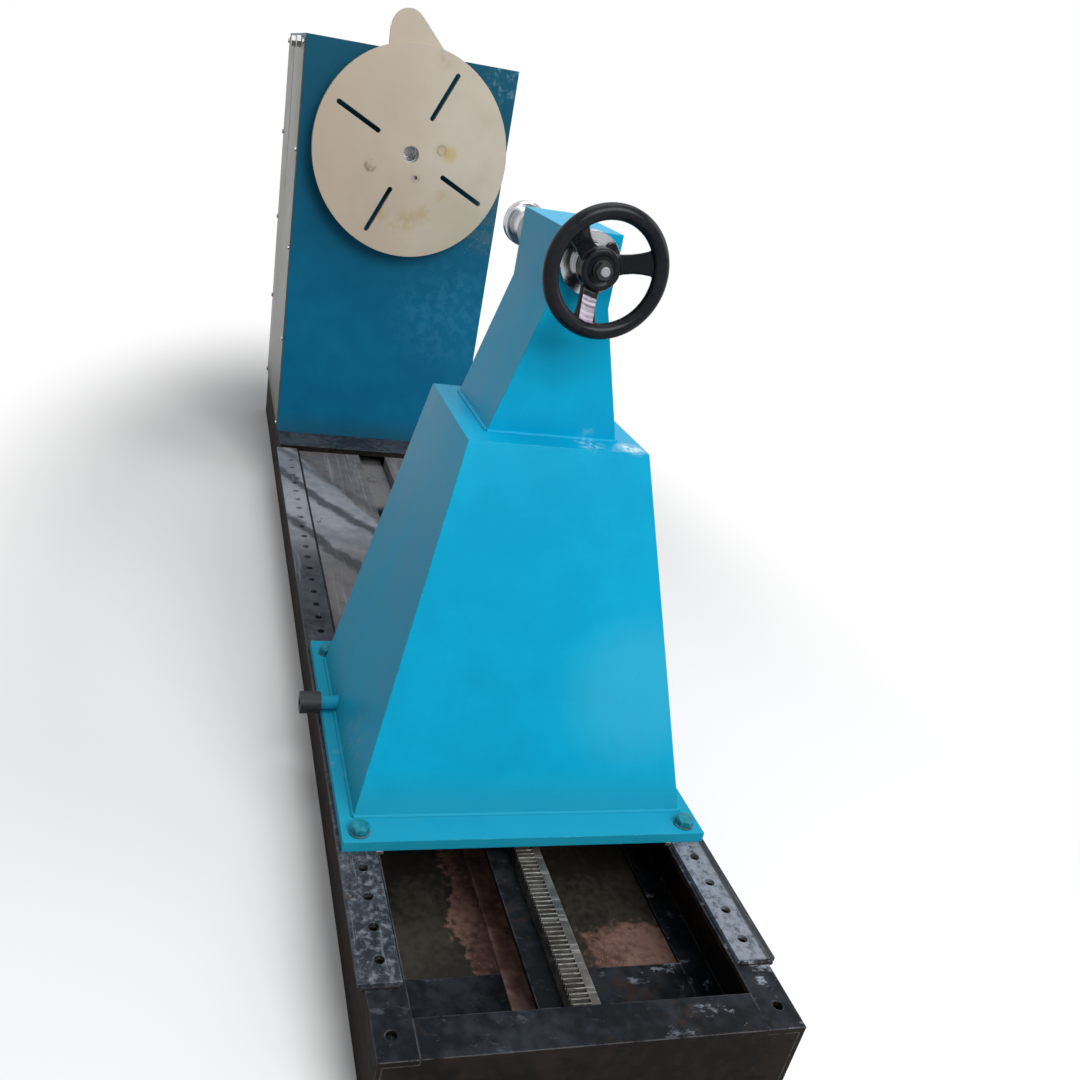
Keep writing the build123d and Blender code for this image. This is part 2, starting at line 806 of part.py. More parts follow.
def hub_bolts():
    """Bolts from behind that hold the faceplate to the spindle's flange."""
    bolts = []
    for y, z in hub_bolt_places():
        shank = rod_x((hub_back, faceplate_back), y, z, hub_bolt_radius)
        head = rod_x((hub_back - hub_bolt_head, hub_back), y, z, hub_bolt_head_radius)
        bolts.append(shank + head)
    return bolts


def output_shaft():
    """The gearmotor's output shaft, which carries the small pulley."""
    x = (belt_x - pulley_width / 2, gearcase_rear + shaft_socket - 2)
    return rod_x(x, 0, motor_axis_height, output_shaft_radius)


def drive_pulley():
    """The small belt pulley with its two flanges."""
    rim = drive_pulley_radius
    lip = rim + belt_thickness
    low = belt_x - pulley_width / 2
    high = belt_x + pulley_width / 2
    profile = [(low - pulley_flange, output_shaft_radius), (low - pulley_flange, lip)]
    profile += [(low, lip), (low, rim), (high, rim), (high, lip), (high + pulley_flange, lip)]
    profile.append((high + pulley_flange, output_shaft_radius))
    return turned_x(profile, motor_axis_height)


write("main_spindle", main_spindle())
write("faceplate", faceplate())
write("faceplate_tongue", tongue())
write("faceplate_hub_bolts", *hub_bolts())
write("spindle_pulley", spindle_pulley())
write("spindle_lock_nut", spindle_nut())
write("gearmotor_output_shaft", output_shaft())
write("gearmotor_pulley", drive_pulley())


# ---------------------------------------------------------------- tailstock

def corner_places():
    """X and Y of the four clamp bolts: a whole number of hole pitches apart along the bed."""
    first = tail_front - clamp_bolt_inset
    last = first - clamp_bolt_pitches * hole_pitch
    return [(x, side * hole_row_y) for x in (first, last) for side in (-1, 1)]


def tailstock_base():
    """The square base plate: four bolt holes and a slot that the pinion reaches through."""
    plate = block((tail_back, tail_front), (-tail_half_width, tail_half_width), (strip_top, plate_top))
    for x, y in corner_places():
        plate -= rod_z(x, y, (strip_top, plate_top), clamp_bolt_radius + bolt_hole_gap)
    slot_x = (pinion_x - pinion_slot / 2, pinion_x + pinion_slot / 2)
    slot_y = (pinion_tube_inner_end, rack_right + pinion_side_gap)
    return plate - block(slot_x, slot_y, (strip_top, plate_top))


def clamp_bolts():
    """Hexagon bolts in the corners of the base plate, backed off to its underside."""
    bolts = []
    for x, y in corner_places():
        head_low = plate_top + washer_thickness
        shank = rod_z(x, y, (strip_top + bolt_end_gap, head_low), clamp_bolt_radius)
        head = hexagon_z(x, y, (head_low, head_low + bolt_head_height), bolt_head_across)
        bolts.append(head + shank)
    return bolts


def clamp_washers():
    """Thick washers under the clamp bolts' heads."""
    washers = []
    for x, y in corner_places():
        disc = rod_z(x, y, (plate_top, plate_top + washer_thickness), washer_radius)
        washers.append(disc - rod_z(x, y, (plate_top, plate_top + washer_thickness), clamp_bolt_radius))
    return washers


def guide_bars():
    """Bars under the base plate that run against the inside of the slide strips."""
    bars = []
    for side in (-1, 1):
        near = strip_inner - guide_gap
        y = sorted((side * near, side * (near - guide_width)))
        bars.append(block((tail_back, tail_front), y, (strip_top - guide_depth, strip_top)))
    return bars


def tapered(bottom, top, low, high):
    """A solid between two rectangles, each given as an X range and a half width."""
    faces = []
    for (x, half), z in ((bottom, low), (top, high)):
        sheet_face = Pos((x[0] + x[1]) / 2, 0, z) * Rectangle(x[1] - x[0], 2 * half)
        faces.append(sheet_face)
    return loft(faces)


def smaller(rectangle, amount):
    """The same rectangle, moved in by the wall thickness on every side."""
    return (inset(rectangle[0], amount), rectangle[1] - amount)


def tailstock_body():
    """The tapered welded box, closed on top and open to the base plate."""
    bottom = (body_foot, body_foot_half)
    top = (body_top, body_top_half)
    body = tapered(bottom, top, plate_top, body_top_height)
    inside_top = body_top_height - body_wall
    body -= tapered(smaller(bottom, body_wall), smaller(top, body_wall), plate_top, inside_top)
    tube_hole = rod_y(pinion_x, (-tail_half_width, -tail_half_width / 2), pinion_z, pinion_tube_radius)
    return body - tube_hole


def column_outline(margin, low, high):
    """The column seen from the end: tapered to the neck and upright above it."""
    foot = column_half_width - margin
    neck = neck_half_width - margin
    right = [(foot, low), (neck, neck_height), (neck, high)]
    left = [(-y, z) for y, z in reversed(right)]
    return right + left


def tailstock_column():
    """The upper column: four plates that taper to the neck, with the upright head on top."""
    column = section_x(column_outline(0, body_top_height, column_top), column_x)
    inside = column_outline(column_wall, body_top_height, column_top - column_wall)
    column -= section_x(inside, inset(column_x, column_wall))
    return column - rod_x(column_x, 0, spindle_height, sleeve_radius)


def quill_sleeve():
    """The tube through the head that guides the quill, with a slot for its key."""
    span = (sleeve_end, column_x[1])
    sleeve = rod_x(span, 0, spindle_height, sleeve_radius)
    sleeve -= rod_x(span, 0, spindle_height, quill_radius + running_gap)
    x = (key_x - keyway_width / 2, key_x + keyway_width / 2)
    bottom = (spindle_height - sleeve_radius, spindle_height - quill_radius + keyway_depth)
    return sleeve - block(x, (-keyway_width / 2, keyway_width / 2), bottom)


def quill_key():
    """The key in the sleeve that stops the quill from turning."""
    x = (key_x - keyway_width / 2, key_x + keyway_width / 2)
    top = spindle_height - quill_radius + keyway_depth - key_top_gap
    return block(x, (-keyway_width / 2, keyway_width / 2), (spindle_height - sleeve_radius, top))


def screw_flange():
    """The round steel cover on the head's front that holds the screw's collar."""
    x = column_x[1]
    step = x + flange_thickness_x
    profile = [(x, 0), (x, flange_radius), (step, flange_radius), (step, flange_boss_radius)]
    profile += [(step + flange_boss_length, flange_boss_radius), (step + flange_boss_length, 0)]
    cover = turned_x(profile, spindle_height)
    collar_x = (x, x + thrust_collar_length + 2 * thrust_collar_gap)
    cover -= rod_x(collar_x, 0, spindle_height, thrust_collar_radius + thrust_collar_gap)
    journal_x = (x, step + flange_boss_length)
    cover -= rod_x(journal_x, 0, spindle_height, screw_journal_radius + running_gap)
    for y, z in ring_places(flange_screw_count, flange_screw_ring, 45):
        cover -= rod_x((x, step), y, spindle_height + z, flange_screw_radius)
    return cover


def flange_screws():
    """Socket screws that hold the screw flange to the head."""
    x = column_x[1]
    step = x + flange_thickness_x
    screws = []
    for y, z in ring_places(flange_screw_count, flange_screw_ring, 45):
        height = spindle_height + z
        shank = rod_x((x, step), y, height, flange_screw_radius)
        head = rod_x((step, step + flange_screw_head), y, height, flange_screw_head_radius)
        screws.append(shank + head)
    return screws


def pinion_tube():
    """The tube through the body's left side that carries the pinion shaft."""
    y = (pinion_tube_end, pinion_tube_inner_end)
    tube = rod_y(pinion_x, y, pinion_z, pinion_tube_radius)
    return tube - rod_y(pinion_x, y, pinion_z, pinion_shaft_radius + running_gap)


def pinion_block():
    """The bearing block on the base plate at the far end of the pinion shaft."""
    y = (block_start, shaft_end)
    half = pinion_tube_radius + pinion_block_wall
    body = block((pinion_x - half, pinion_x + half), y, (plate_top, pinion_z + half))
    return body - rod_y(pinion_x, y, pinion_z, pinion_shaft_radius + running_gap)


write("tailstock_base_plate", tailstock_base())
write("tailstock_clamp_bolts", *clamp_bolts())
write("tailstock_clamp_washers", *clamp_washers())
write("tailstock_guide_bars", *guide_bars())
write("tailstock_body", tailstock_body())
write("tailstock_column", tailstock_column())
write("quill_sleeve", quill_sleeve())
write("quill_key", quill_key())
write("screw_flange", screw_flange())
write("screw_flange_screws", *flange_screws())
write("pinion_bearing_tube", pinion_tube())
write("pinion_bearing_block", pinion_block())


# ---------------------------------------------------------------- pinion and its shaft

def pinion_shaft():
    """The shaft across the tailstock, from the crank hub to the far bearing block."""
    y = (pinion_tube_end - crank_hub_length / 2, shaft_end)
    return rod_y(pinion_x, y, pinion_z, pinion_shaft_radius)


def involute_flank(base, angle):
    """A point on the involute of the base circle, as radius and swept angle."""
    return base * math.sqrt(1 + angle * angle), angle - math.atan(angle)


def rack_pinion():
    """The spur pinion, with a tooth pointing straight down into a gap of the rack."""
    base = pitch_radius * math.cos(math.radians(pressure_angle))
    tip = pitch_radius + gear_module
    root = pitch_radius - 1.25 * gear_module
    pitch_sweep = math.tan(math.radians(pressure_angle)) - math.radians(pressure_angle)
    half_tooth = (tooth_pitch / 2 - mesh_backlash / 2) / 2 / pitch_radius
    flank = [(root, half_tooth + pitch_sweep)]
    tip_angle = math.sqrt((tip / base) ** 2 - 1)
    for k in range(flank_points):
        radius, sweep = involute_flank(base, tip_angle * k / (flank_points - 1))
        flank.append((radius, half_tooth + pitch_sweep - sweep))
    points = []
    for tooth in range(pinion_teeth):
        middle = -math.pi / 2 + 2 * math.pi * tooth / pinion_teeth
        polar = [(r, middle - a) for r, a in flank]
        polar += [(r, middle + a) for r, a in reversed(flank)]
        points += [(pinion_x + r * math.cos(t), pinion_z + r * math.sin(t)) for r, t in polar]
    gear = section_y(points, (rack_left, rack_right))
    return gear - rod_y(pinion_x, (rack_left, rack_right), pinion_z, pinion_shaft_radius)


def shaft_collar():
    """The collar that keeps the pinion shaft in its tube."""
    start = pinion_tube_inner_end + collar_gap
    y = (start, start + collar_width)
    collar = rod_y(pinion_x, y, pinion_z, pinion_shaft_radius + collar_wall)
    return collar - rod_y(pinion_x, y, pinion_z, pinion_shaft_radius)


def crank_hub():
    """The black hub on the shaft's outer end, with a square socket for a loose crank."""
    inner = pinion_tube_end - crank_hub_gap
    outer = inner - crank_hub_length
    middle = pinion_tube_end - crank_hub_length / 2
    hub = rod_y(pinion_x, (outer, inner), pinion_z, crank_hub_radius)
    hub -= rod_y(pinion_x, (middle, inner), pinion_z, pinion_shaft_radius)
    half = crank_square / 2
    socket_x = (pinion_x - half, pinion_x + half)
    return hub - block(socket_x, (outer, middle), (pinion_z - half, pinion_z + half))


write("pinion_shaft", pinion_shaft())
write("rack_pinion", rack_pinion())
write("pinion_shaft_collar", shaft_collar())
write("crank_hub", crank_hub())


# ---------------------------------------------------------------- quill and live centre

def quill():
    """The steel bar that slides in the sleeve: hollow behind, with a seat for the centre."""
    bar = rod_x((quill_nose, quill_rear), 0, spindle_height, quill_radius)
    bar -= rod_x((screw_tip - quill_tip_room, quill_rear), 0, spindle_height, quill_bore)
    bar -= rod_x((quill_rear - nut_length, quill_rear), 0, spindle_height, nut_radius)
    seat_end = quill_nose + 2 * bearing_ring_length + bearing_space
    bar -= rod_x((quill_nose, seat_end), 0, spindle_height, bearing_ring_radius)
    slot_z = (spindle_height - quill_radius, spindle_height - quill_radius + keyway_depth)
    half = keyway_width / 2 + key_side_gap
    return bar - block((quill_nose + keyway_start, quill_rear - keyway_end_gap), (-half, half), slot_z)


def quill_nut():
    """The bronze nut pressed into the quill's rear, on the screw."""
    x = (quill_rear - nut_length, quill_rear)
    nut = rod_x(x, 0, spindle_height, nut_radius)
    return nut - rod_x(x, 0, spindle_height, screw_radius + running_gap)


def centre_bearings():
    """The two ball bearings in the quill's nose, each as one ring."""
    rings = []
    for start in (quill_nose, quill_nose + bearing_ring_length + bearing_space):
        x = (start, start + bearing_ring_length)
        ring = rod_x(x, 0, spindle_height, bearing_ring_radius)
        rings.append(ring - rod_x(x, 0, spindle_height, centre_shank_radius + running_gap))
    return rings


def live_centre():
    """The turning centre: a pointed cone, a wide polished ring and a shank in the bearings."""
    point = centre_ring_face - cone_radius / math.tan(math.radians(cone_half_angle))
    ring_back = centre_ring_face + centre_ring_width
    shank_end = quill_nose + 2 * bearing_ring_length + bearing_space - 1
    cut = centre_ring_chamfer
    step = centre_ring_radius - centre_ring_step
    shoulder = centre_shank_radius + centre_shoulder
    profile = [(point, 0), (centre_ring_face, cone_radius)]
    profile += [(centre_ring_face, centre_ring_radius - cut)]
    profile += [(centre_ring_face + cut, centre_ring_radius), (ring_back - cut, centre_ring_radius)]
    profile += [(ring_back, centre_ring_radius - cut), (ring_back, step)]
    profile += [(quill_nose - centre_nose_gap, step), (quill_nose - centre_nose_gap, shoulder)]
    profile += [(quill_nose - 0.5, shoulder), (quill_nose - 0.5, centre_shank_radius)]
    profile += [(shank_end, centre_shank_radius), (shank_end, 0)]
    return turned_x(profile, spindle_height)


write("quill", quill())
write("quill_nut", quill_nut())
write("live_centre_bearings", *centre_bearings())
write("live_centre", live_centre())


# ---------------------------------------------------------------- screw and handwheel

def quill_screw():
    """The screw in the quill, with its thrust collar, journal and threaded end."""
    collar = column_x[1] + thrust_collar_gap
    collar_end = collar + thrust_collar_length
    profile = [(screw_tip, 0), (screw_tip, screw_radius - screw_chamfer)]
    profile += [(screw_tip + screw_chamfer, screw_radius), (collar, screw_radius)]
    profile += [(collar, thrust_collar_radius), (collar_end, thrust_collar_radius)]
    profile += [(collar_end, screw_journal_radius), (wheel_hub[1], screw_journal_radius)]
    profile += [(wheel_hub[1], wheel_thread_radius)]
    profile += [(screw_end - wheel_thread_chamfer, wheel_thread_radius)]
    profile += [(screw_end, wheel_thread_radius - wheel_thread_chamfer), (screw_end, 0)]
    return turned_x(profile, spindle_height)


def handwheel():
    """The dished handwheel: a round rim ahead of the hub and three flaring spokes."""
    back, face = wheel_hub
    profile = [(back, 0), (back, wheel_hub_radius - hub_rear_step)]
    profile += [(back + hub_rear_taper, wheel_hub_radius)]
    profile += [(face - hub_front_chamfer, wheel_hub_radius)]
    profile += [(face, wheel_hub_radius - hub_front_chamfer), (face, 0)]
    wheel = turned_x(profile, spindle_height)
    rim = Rot(0, 90, 0) * Torus(wheel_radius - rim_radius, rim_radius)
    wheel += Pos(wheel_plane, 0, spindle_height) * rim
    for k in range(spoke_count):
        turn = Rot(spoke_phase + 360 * k / spoke_count, 0, 0)
        wheel += Pos(0, 0, spindle_height) * turn * spoke()
    return wheel - rod_x(wheel_hub, 0, spindle_height, screw_journal_radius)


def spoke():
    """One flat spoke along +Y that flares towards the rim and leans forward to meet it."""
    inner = wheel_hub_radius - hub_rear_step
    outer = wheel_radius - rim_radius
    middle = sum(wheel_hub) / 2
    half = spoke_thickness / 2
    lean = [(middle - half, inner), (wheel_plane - half, outer)]
    lean += [(wheel_plane + half, outer), (middle + half, inner)]
    side_view = make_face(Polyline(*lean, close=True))
    slab = Pos(0, 0, -spoke_rim_width) * extrude(side_view, 2 * spoke_rim_width)
    root = spoke_root_width / 2
    tip = spoke_rim_width / 2
    front_view = [(inner, -root), (outer, -tip), (outer, tip), (inner, root)]
    plan = section_x(front_view, (wheel_hub[0], wheel_plane + spoke_thickness))
    return slab & plan


def handwheel_nut():
    """The nut and washer that hold the handwheel on the screw."""
    face = wheel_hub[1]
    seat = face + wheel_washer
    washer = rod_x((face, seat), 0, spindle_height, wheel_washer_radius)
    side = RegularPolygon(wheel_nut_across / math.sqrt(3), 6)
    nut = Pos(seat, 0, spindle_height) * extrude(Plane.YZ * side, wheel_nut_height)
    bore = (face, seat + wheel_nut_height)
    return washer + nut - rod_x(bore, 0, spindle_height, wheel_thread_radius)


write("quill_screw", quill_screw())
write("handwheel", handwheel())
write("handwheel_nut", handwheel_nut())
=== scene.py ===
# %% [markdown]
# # A coil winding machine, dressed in Blender
# The machine is a long welded bed with a cabinet headstock at one end and a tailstock that slides
# along it. Its solids come ready from the imported frame. Each cell below adds one finish or one piece
# of detail to them. The first cell loads the frame.

# %% Load the frame
import bpy
import math
from mathutils import Matrix, Vector


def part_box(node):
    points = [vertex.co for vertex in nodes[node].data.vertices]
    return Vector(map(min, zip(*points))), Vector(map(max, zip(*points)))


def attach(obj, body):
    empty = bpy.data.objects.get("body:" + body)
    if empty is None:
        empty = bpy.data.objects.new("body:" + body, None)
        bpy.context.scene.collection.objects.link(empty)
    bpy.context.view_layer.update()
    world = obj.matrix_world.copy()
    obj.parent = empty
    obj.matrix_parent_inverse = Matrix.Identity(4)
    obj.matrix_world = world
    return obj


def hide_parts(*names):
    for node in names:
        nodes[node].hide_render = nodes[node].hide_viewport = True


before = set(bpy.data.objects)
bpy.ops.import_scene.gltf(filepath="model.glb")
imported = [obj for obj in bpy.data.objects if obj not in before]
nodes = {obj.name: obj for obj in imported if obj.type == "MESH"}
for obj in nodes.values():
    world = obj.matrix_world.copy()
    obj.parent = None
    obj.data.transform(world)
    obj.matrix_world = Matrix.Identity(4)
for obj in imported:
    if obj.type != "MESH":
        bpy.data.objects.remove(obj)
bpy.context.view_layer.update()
bpy.context.scene.view_settings.view_transform = "Standard"

# %% [markdown]
# ## Places that the details use
# Every detail sits on something that the frame already holds. Reading a node's box gives those
# places, so most details follow if the machine is built again with other sizes.

# %% Read the main places from the frame
bed_low, bed_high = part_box("bed_side_beam_left")
plate_low, plate_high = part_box("tailstock_base_plate")
body_low, body_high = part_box("tailstock_body")
column_low, column_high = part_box("tailstock_column")
wheel_low, wheel_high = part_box("handwheel")
face_low, face_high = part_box("faceplate")
cabinet_low, cabinet_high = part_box("headstock_cabinet")
spindle_z = (face_low.z + face_high.z) / 2
bed_top = bed_high.z
bed_front = bed_high.x
print("spindle height", spindle_z, "bed top", bed_top)

# %% [markdown]
# ## The camera
# The photograph was taken from head height near the tailstock end, a little to the left, with the
# phone tipped. The position and the three angles below were worked out from the places of about
# 45 corners. A shift moves the picture to the frame that the photograph was cut to.

# %% Camera
camera_place = Vector((2.46737, -0.57989, 1.31058))
camera_yaw = 0.29916
camera_pitch = 0.47280
camera_roll = 0.17630
photo_size = 1080
focal_share = 1006.38 / photo_size
centre_share = (467.99 / photo_size, 603.66 / photo_size)

forward = Vector((-math.cos(camera_yaw) * math.cos(camera_pitch),
                  math.sin(camera_yaw) * math.cos(camera_pitch),
                  -math.sin(camera_pitch)))
level_right = forward.cross(Vector((0, 0, 1))).normalized()
level_up = level_right.cross(forward)
right = math.cos(camera_roll) * level_right + math.sin(camera_roll) * level_up
up = -math.sin(camera_roll) * level_right + math.cos(camera_roll) * level_up
turn = Matrix((right, up, -forward)).transposed().to_4x4()

camera_data = bpy.data.cameras.new("camera")
camera = bpy.data.objects.new("camera", camera_data)
bpy.context.scene.collection.objects.link(camera)
camera.matrix_world = Matrix.Translation(camera_place) @ turn
camera_data.sensor_fit = "HORIZONTAL"
camera_data.sensor_width = 36
camera_data.lens = camera_data.sensor_width * focal_share
camera_data.shift_x = 0.5 - centre_share[0]
camera_data.shift_y = centre_share[1] - 0.5
camera_data.clip_end = 100
bpy.context.scene.camera = camera
print("lens", camera_data.lens, "shift", camera_data.shift_x, camera_data.shift_y)

# %% [markdown]
# ## Shader helpers
# A finish is a tree of shader nodes. Each helper below places one kind of node, gives it its inputs
# and returns its output, so that a finish reads like a recipe. An input may be a number, a colour
# or the output of another node, and `feed` sorts out which.

# %% Place a node and feed it
def feed(tree, socket, value):
    """Links an output to a socket, or sets the socket to a number, a direction or a colour."""
    if isinstance(value, bpy.types.NodeSocket):
        tree.links.new(value, socket)
    elif socket.type == "RGBA":
        socket.default_value = (*value, 1)
    else:
        socket.default_value = value


def add_node(tree, kind, inputs=(), **values):
    """Adds a shader node, sets its properties, feeds its inputs and returns it."""
    node = tree.nodes.new(kind)
    for name, value in values.items():
        setattr(node, name, value)
    for key, value in dict(inputs).items():
        feed(tree, node.inputs[key], value)
    return node


# %% Arithmetic
def math_node(tree, operation, *values):
    """One arithmetic step."""
    return add_node(tree, "ShaderNodeMath", enumerate(values), operation=operation).outputs[0]


def product(tree, first, *others):
    """Several masks multiplied together."""
    for other in others:
        first = math_node(tree, "MULTIPLY", first, other)
    return first


def vector_node(tree, operation, *values):
    """One step with directions or points. A length or a dot product comes out as a number."""
    node = add_node(tree, "ShaderNodeVectorMath", enumerate(values), operation=operation)
    gives_number = operation in ("DISTANCE", "LENGTH", "DOT_PRODUCT")
    return node.outputs["Value" if gives_number else "Vector"]


def ramp(tree, source, low, high):
    """A value that goes smoothly from 0 to 1 as the source goes from low to high."""
    inputs = {"Value": source, "From Min": low, "From Max": high}
    return add_node(tree, "ShaderNodeMapRange", inputs, interpolation_type="SMOOTHSTEP").outputs["Result"]


# %% Mixing
def blend(tree, factor, first, second):
    """A colour between two colours, by a mask."""
    return add_node(tree, "ShaderNodeMix", {0: factor, 6: first, 7: second}, data_type="RGBA").outputs[2]


def mix_values(tree, factor, first, second):
    """A number between two numbers, by a mask."""
    return add_node(tree, "ShaderNodeMix", {0: factor, 2: first, 3: second}).outputs[0]


# %% [markdown]
# Patterns hang on Object coordinates, which are metres in the machine's own frame. So a pattern
# keeps its true scale, and stays on its piece when the piece moves.

# %% Places and noise
def object_point(tree):
    """The place of each point of the surface, in metres."""
    return add_node(tree, "ShaderNodeTexCoord").outputs["Object"]


def part_of(tree, vector, axis):
    """One of the three parts of a vector: 0 for X, 1 for Y, 2 for Z."""
    return add_node(tree, "ShaderNodeSeparateXYZ", {0: vector}).outputs[axis]


def coordinate(tree, axis):
    """One Object coordinate, in metres."""
    return part_of(tree, object_point(tree), axis)


def noise(tree, scale, detail, roughness=0.5, point=None):
    """A noise value around 0.5."""
    place = object_point(tree) if point is None else point
    inputs = {"Vector": place, "Scale": scale, "Detail": detail, "Roughness": roughness}
    return add_node(tree, "ShaderNodeTexNoise", inputs).outputs["Fac"]


def grains(tree, scale):
    """The distance from the middle of the nearest grain, in grains."""
    inputs = {"Scale": scale, "Vector": object_point(tree)}
    return add_node(tree, "ShaderNodeTexVoronoi", inputs).outputs["Distance"]


def blot(tree, centre, radius, softness):
    """1 inside a round patch about a point in metres, 0 outside it."""
    away = vector_node(tree, "DISTANCE", object_point(tree), centre)
    return ramp(tree, away, radius + softness, radius - softness)


def seen_directly(tree):
    """1 for rays from the camera, from a reflection or through glass, 0 for light that scatters."""
    rays = add_node(tree, "ShaderNodeLightPath").outputs
    seen = math_node(tree, "MAXIMUM", rays["Is Camera Ray"], rays["Is Glossy Ray"])
    return math_node(tree, "MAXIMUM", seen, rays["Is Transmission Ray"])


# %% [markdown]
# ## Floor and light
# A wide pale floor catches the shadow. Close to the machine it is a plain pale surface, and further
# out camera and mirror rays see plain white through Light Path. The floor throws back less light
# than it seems to, so that the machine's shaded faces stay dark, as they are in the photograph.

# %% Floor and backdrop
floor_size = 40
floor_drop = 0.0005
floor_seen = (0.88, 0.88, 0.88)
floor_bounce = (0.50, 0.50, 0.50)
shadow_half_length = 2.2
shadow_half_width = 1.0
bpy.ops.object.select_all(action="DESELECT")
bpy.ops.mesh.primitive_plane_add(size=floor_size, location=(0, 0, -floor_drop))
floor = bpy.context.object
floor.name = "floor"
floor_material = bpy.data.materials.new("pale_floor")
floor_material.use_nodes = True
floor.data.materials.append(floor_material)

floor_tree = floor_material.node_tree
floor_shader = floor_tree.nodes["Principled BSDF"]
floor_shader.inputs["Roughness"].default_value = 0.85
floor_shader.inputs["Specular IOR Level"].default_value = 0.1
for_camera = add_node(floor_tree, "ShaderNodeLightPath").outputs["Is Camera Ray"]
floor_tone = blend(floor_tree, for_camera, floor_bounce, floor_seen)
feed(floor_tree, floor_shader.inputs["Base Color"], floor_tone)
squeeze = (1 / shadow_half_length, 1 / shadow_half_width, 0)
floor_place = vector_node(floor_tree, "MULTIPLY", object_point(floor_tree), squeeze)
far_from_machine = ramp(floor_tree, vector_node(floor_tree, "LENGTH", floor_place), 0.85, 1.5)
white_share = product(floor_tree, seen_directly(floor_tree), far_from_machine)
white_glow = add_node(floor_tree, "ShaderNodeEmission").outputs["Emission"]
floor_sides = {"Fac": white_share, 1: floor_shader.outputs["BSDF"], 2: white_glow}
floor_mix = add_node(floor_tree, "ShaderNodeMixShader", floor_sides)
feed(floor_tree, floor_tree.nodes["Material Output"].inputs["Surface"], floor_mix.outputs["Shader"])
print("floor seen as", floor_seen[0], "and lighting as", floor_bounce[0])

# %% [markdown]
# The world is white where it is seen and dimmer where it only adds light. Four large area lamps
# give soft light: a key from the front right, a fill, a weak one on the left and one over the bed.

# %% World and lamps
world = bpy.data.worlds.new("studio")
bpy.context.scene.world = world
world.use_nodes = True
world_tree = world.node_tree
background = world_tree.nodes["Background"]
feed(world_tree, background.inputs["Color"], (0.95, 0.97, 1.0))
feed(world_tree, background.inputs["Strength"], 0.25)
white_world = add_node(world_tree, "ShaderNodeBackground", {"Color": (1, 1, 1), "Strength": 1.0})
skies = {"Fac": seen_directly(world_tree), 1: background.outputs[0], 2: white_world.outputs[0]}
chosen = add_node(world_tree, "ShaderNodeMixShader", skies)
feed(world_tree, world_tree.nodes["World Output"].inputs["Surface"], chosen.outputs["Shader"])


def area_lamp(name, place, target, size, watts):
    """A square soft lamp that points at a target."""
    data = bpy.data.lights.new(name, "AREA")
    data.size = size
    data.energy = watts
    lamp = bpy.data.objects.new(name, data)
    bpy.context.scene.collection.objects.link(lamp)
    lamp.location = place
    lamp.rotation_euler = (Vector(target) - Vector(place)).to_track_quat("-Z", "Y").to_euler()


area_lamp("key_lamp", (4.0, 0.9, 3.3), (0.2, 0, 0.6), 2.4, 150)
area_lamp("fill_lamp", (1.5, 4.0, 2.8), (0, 0, 0.6), 2.6, 45)
area_lamp("left_lamp", (-0.5, -4.2, 2.6), (0, 0, 0.6), 2.6, 6)
area_lamp("top_lamp", (0.2, 0.3, 4.6), (0, 0, 0), 3.0, 75)
print("lamps:", [lamp.name for lamp in bpy.data.lights])

# %% [markdown]
# ## Shared effects as node groups
# Three effects come back in many finishes: worn edges, uneven tone and fine scratches. Each is
# a node group with its own inputs, so that a finish only says how much of it there is.
#
# Worn edges use the Bevel node, which bends the surface direction near an edge. Where the bent
# direction and the true one differ, there is an edge, and a noise breaks the line up as wear does.

# %% Node group: edge wear
def new_group(name, inputs, outputs):
    """An empty shader node group with its own inputs and outputs."""
    group = bpy.data.node_groups.new(name, "ShaderNodeTree")
    for socket, kind, value in inputs:
        group.interface.new_socket(socket, in_out="INPUT", socket_type=kind).default_value = value
    for socket, kind in outputs:
        group.interface.new_socket(socket, in_out="OUTPUT", socket_type=kind)
    return group, add_node(group, "NodeGroupInput").outputs, add_node(group, "NodeGroupOutput").inputs


def make_edge_wear():
    """Mask of worn edges: Width in metres, Amount from 0 to 1, Scale of the breaks."""
    inputs = [("Width", "NodeSocketFloat", 0.002), ("Amount", "NodeSocketFloat", 0.6),
              ("Scale", "NodeSocketFloat", 40.0)]
    outputs = [("Mask", "NodeSocketFloat"), ("Normal", "NodeSocketVector")]
    group, given, made = new_group("edge_wear", inputs, outputs)
    bevel = add_node(group, "ShaderNodeBevel", {"Radius": given["Width"]}, samples=4)
    true_normal = add_node(group, "ShaderNodeNewGeometry").outputs["Normal"]
    agreement = vector_node(group, "DOT_PRODUCT", bevel.outputs["Normal"], true_normal)
    edge = ramp(group, math_node(group, "SUBTRACT", 1.0, agreement), 0.004, 0.12)
    limit = math_node(group, "SUBTRACT", 1.0, given["Amount"])
    above = math_node(group, "SUBTRACT", noise(group, given["Scale"], 6, 0.7), limit)
    feed(group, made["Mask"], product(group, edge, ramp(group, above, -0.08, 0.10)))
    feed(group, made["Normal"], bevel.outputs["Normal"])
    return group


edge_wear = make_edge_wear()

# %% [markdown]
# Uneven tone is two noises of different size added up. On paint it stands for thin and thick
# coats, on bare steel for oil and touch marks.

# %% Node group: uneven tone
def make_uneven_tone():
    """A value around 0.5 that changes slowly (Broad) and finely (Fine) over the surface."""
    inputs = [("Broad", "NodeSocketFloat", 2.0), ("Fine", "NodeSocketFloat", 30.0),
              ("Share", "NodeSocketFloat", 0.3)]
    group, given, made = new_group("uneven_tone", inputs, [("Value", "NodeSocketFloat")])
    broad = noise(group, given["Broad"], 5)
    fine = noise(group, given["Fine"], 5)
    feed(group, made["Value"], mix_values(group, given["Share"], broad, fine))
    return group


uneven_tone = make_uneven_tone()

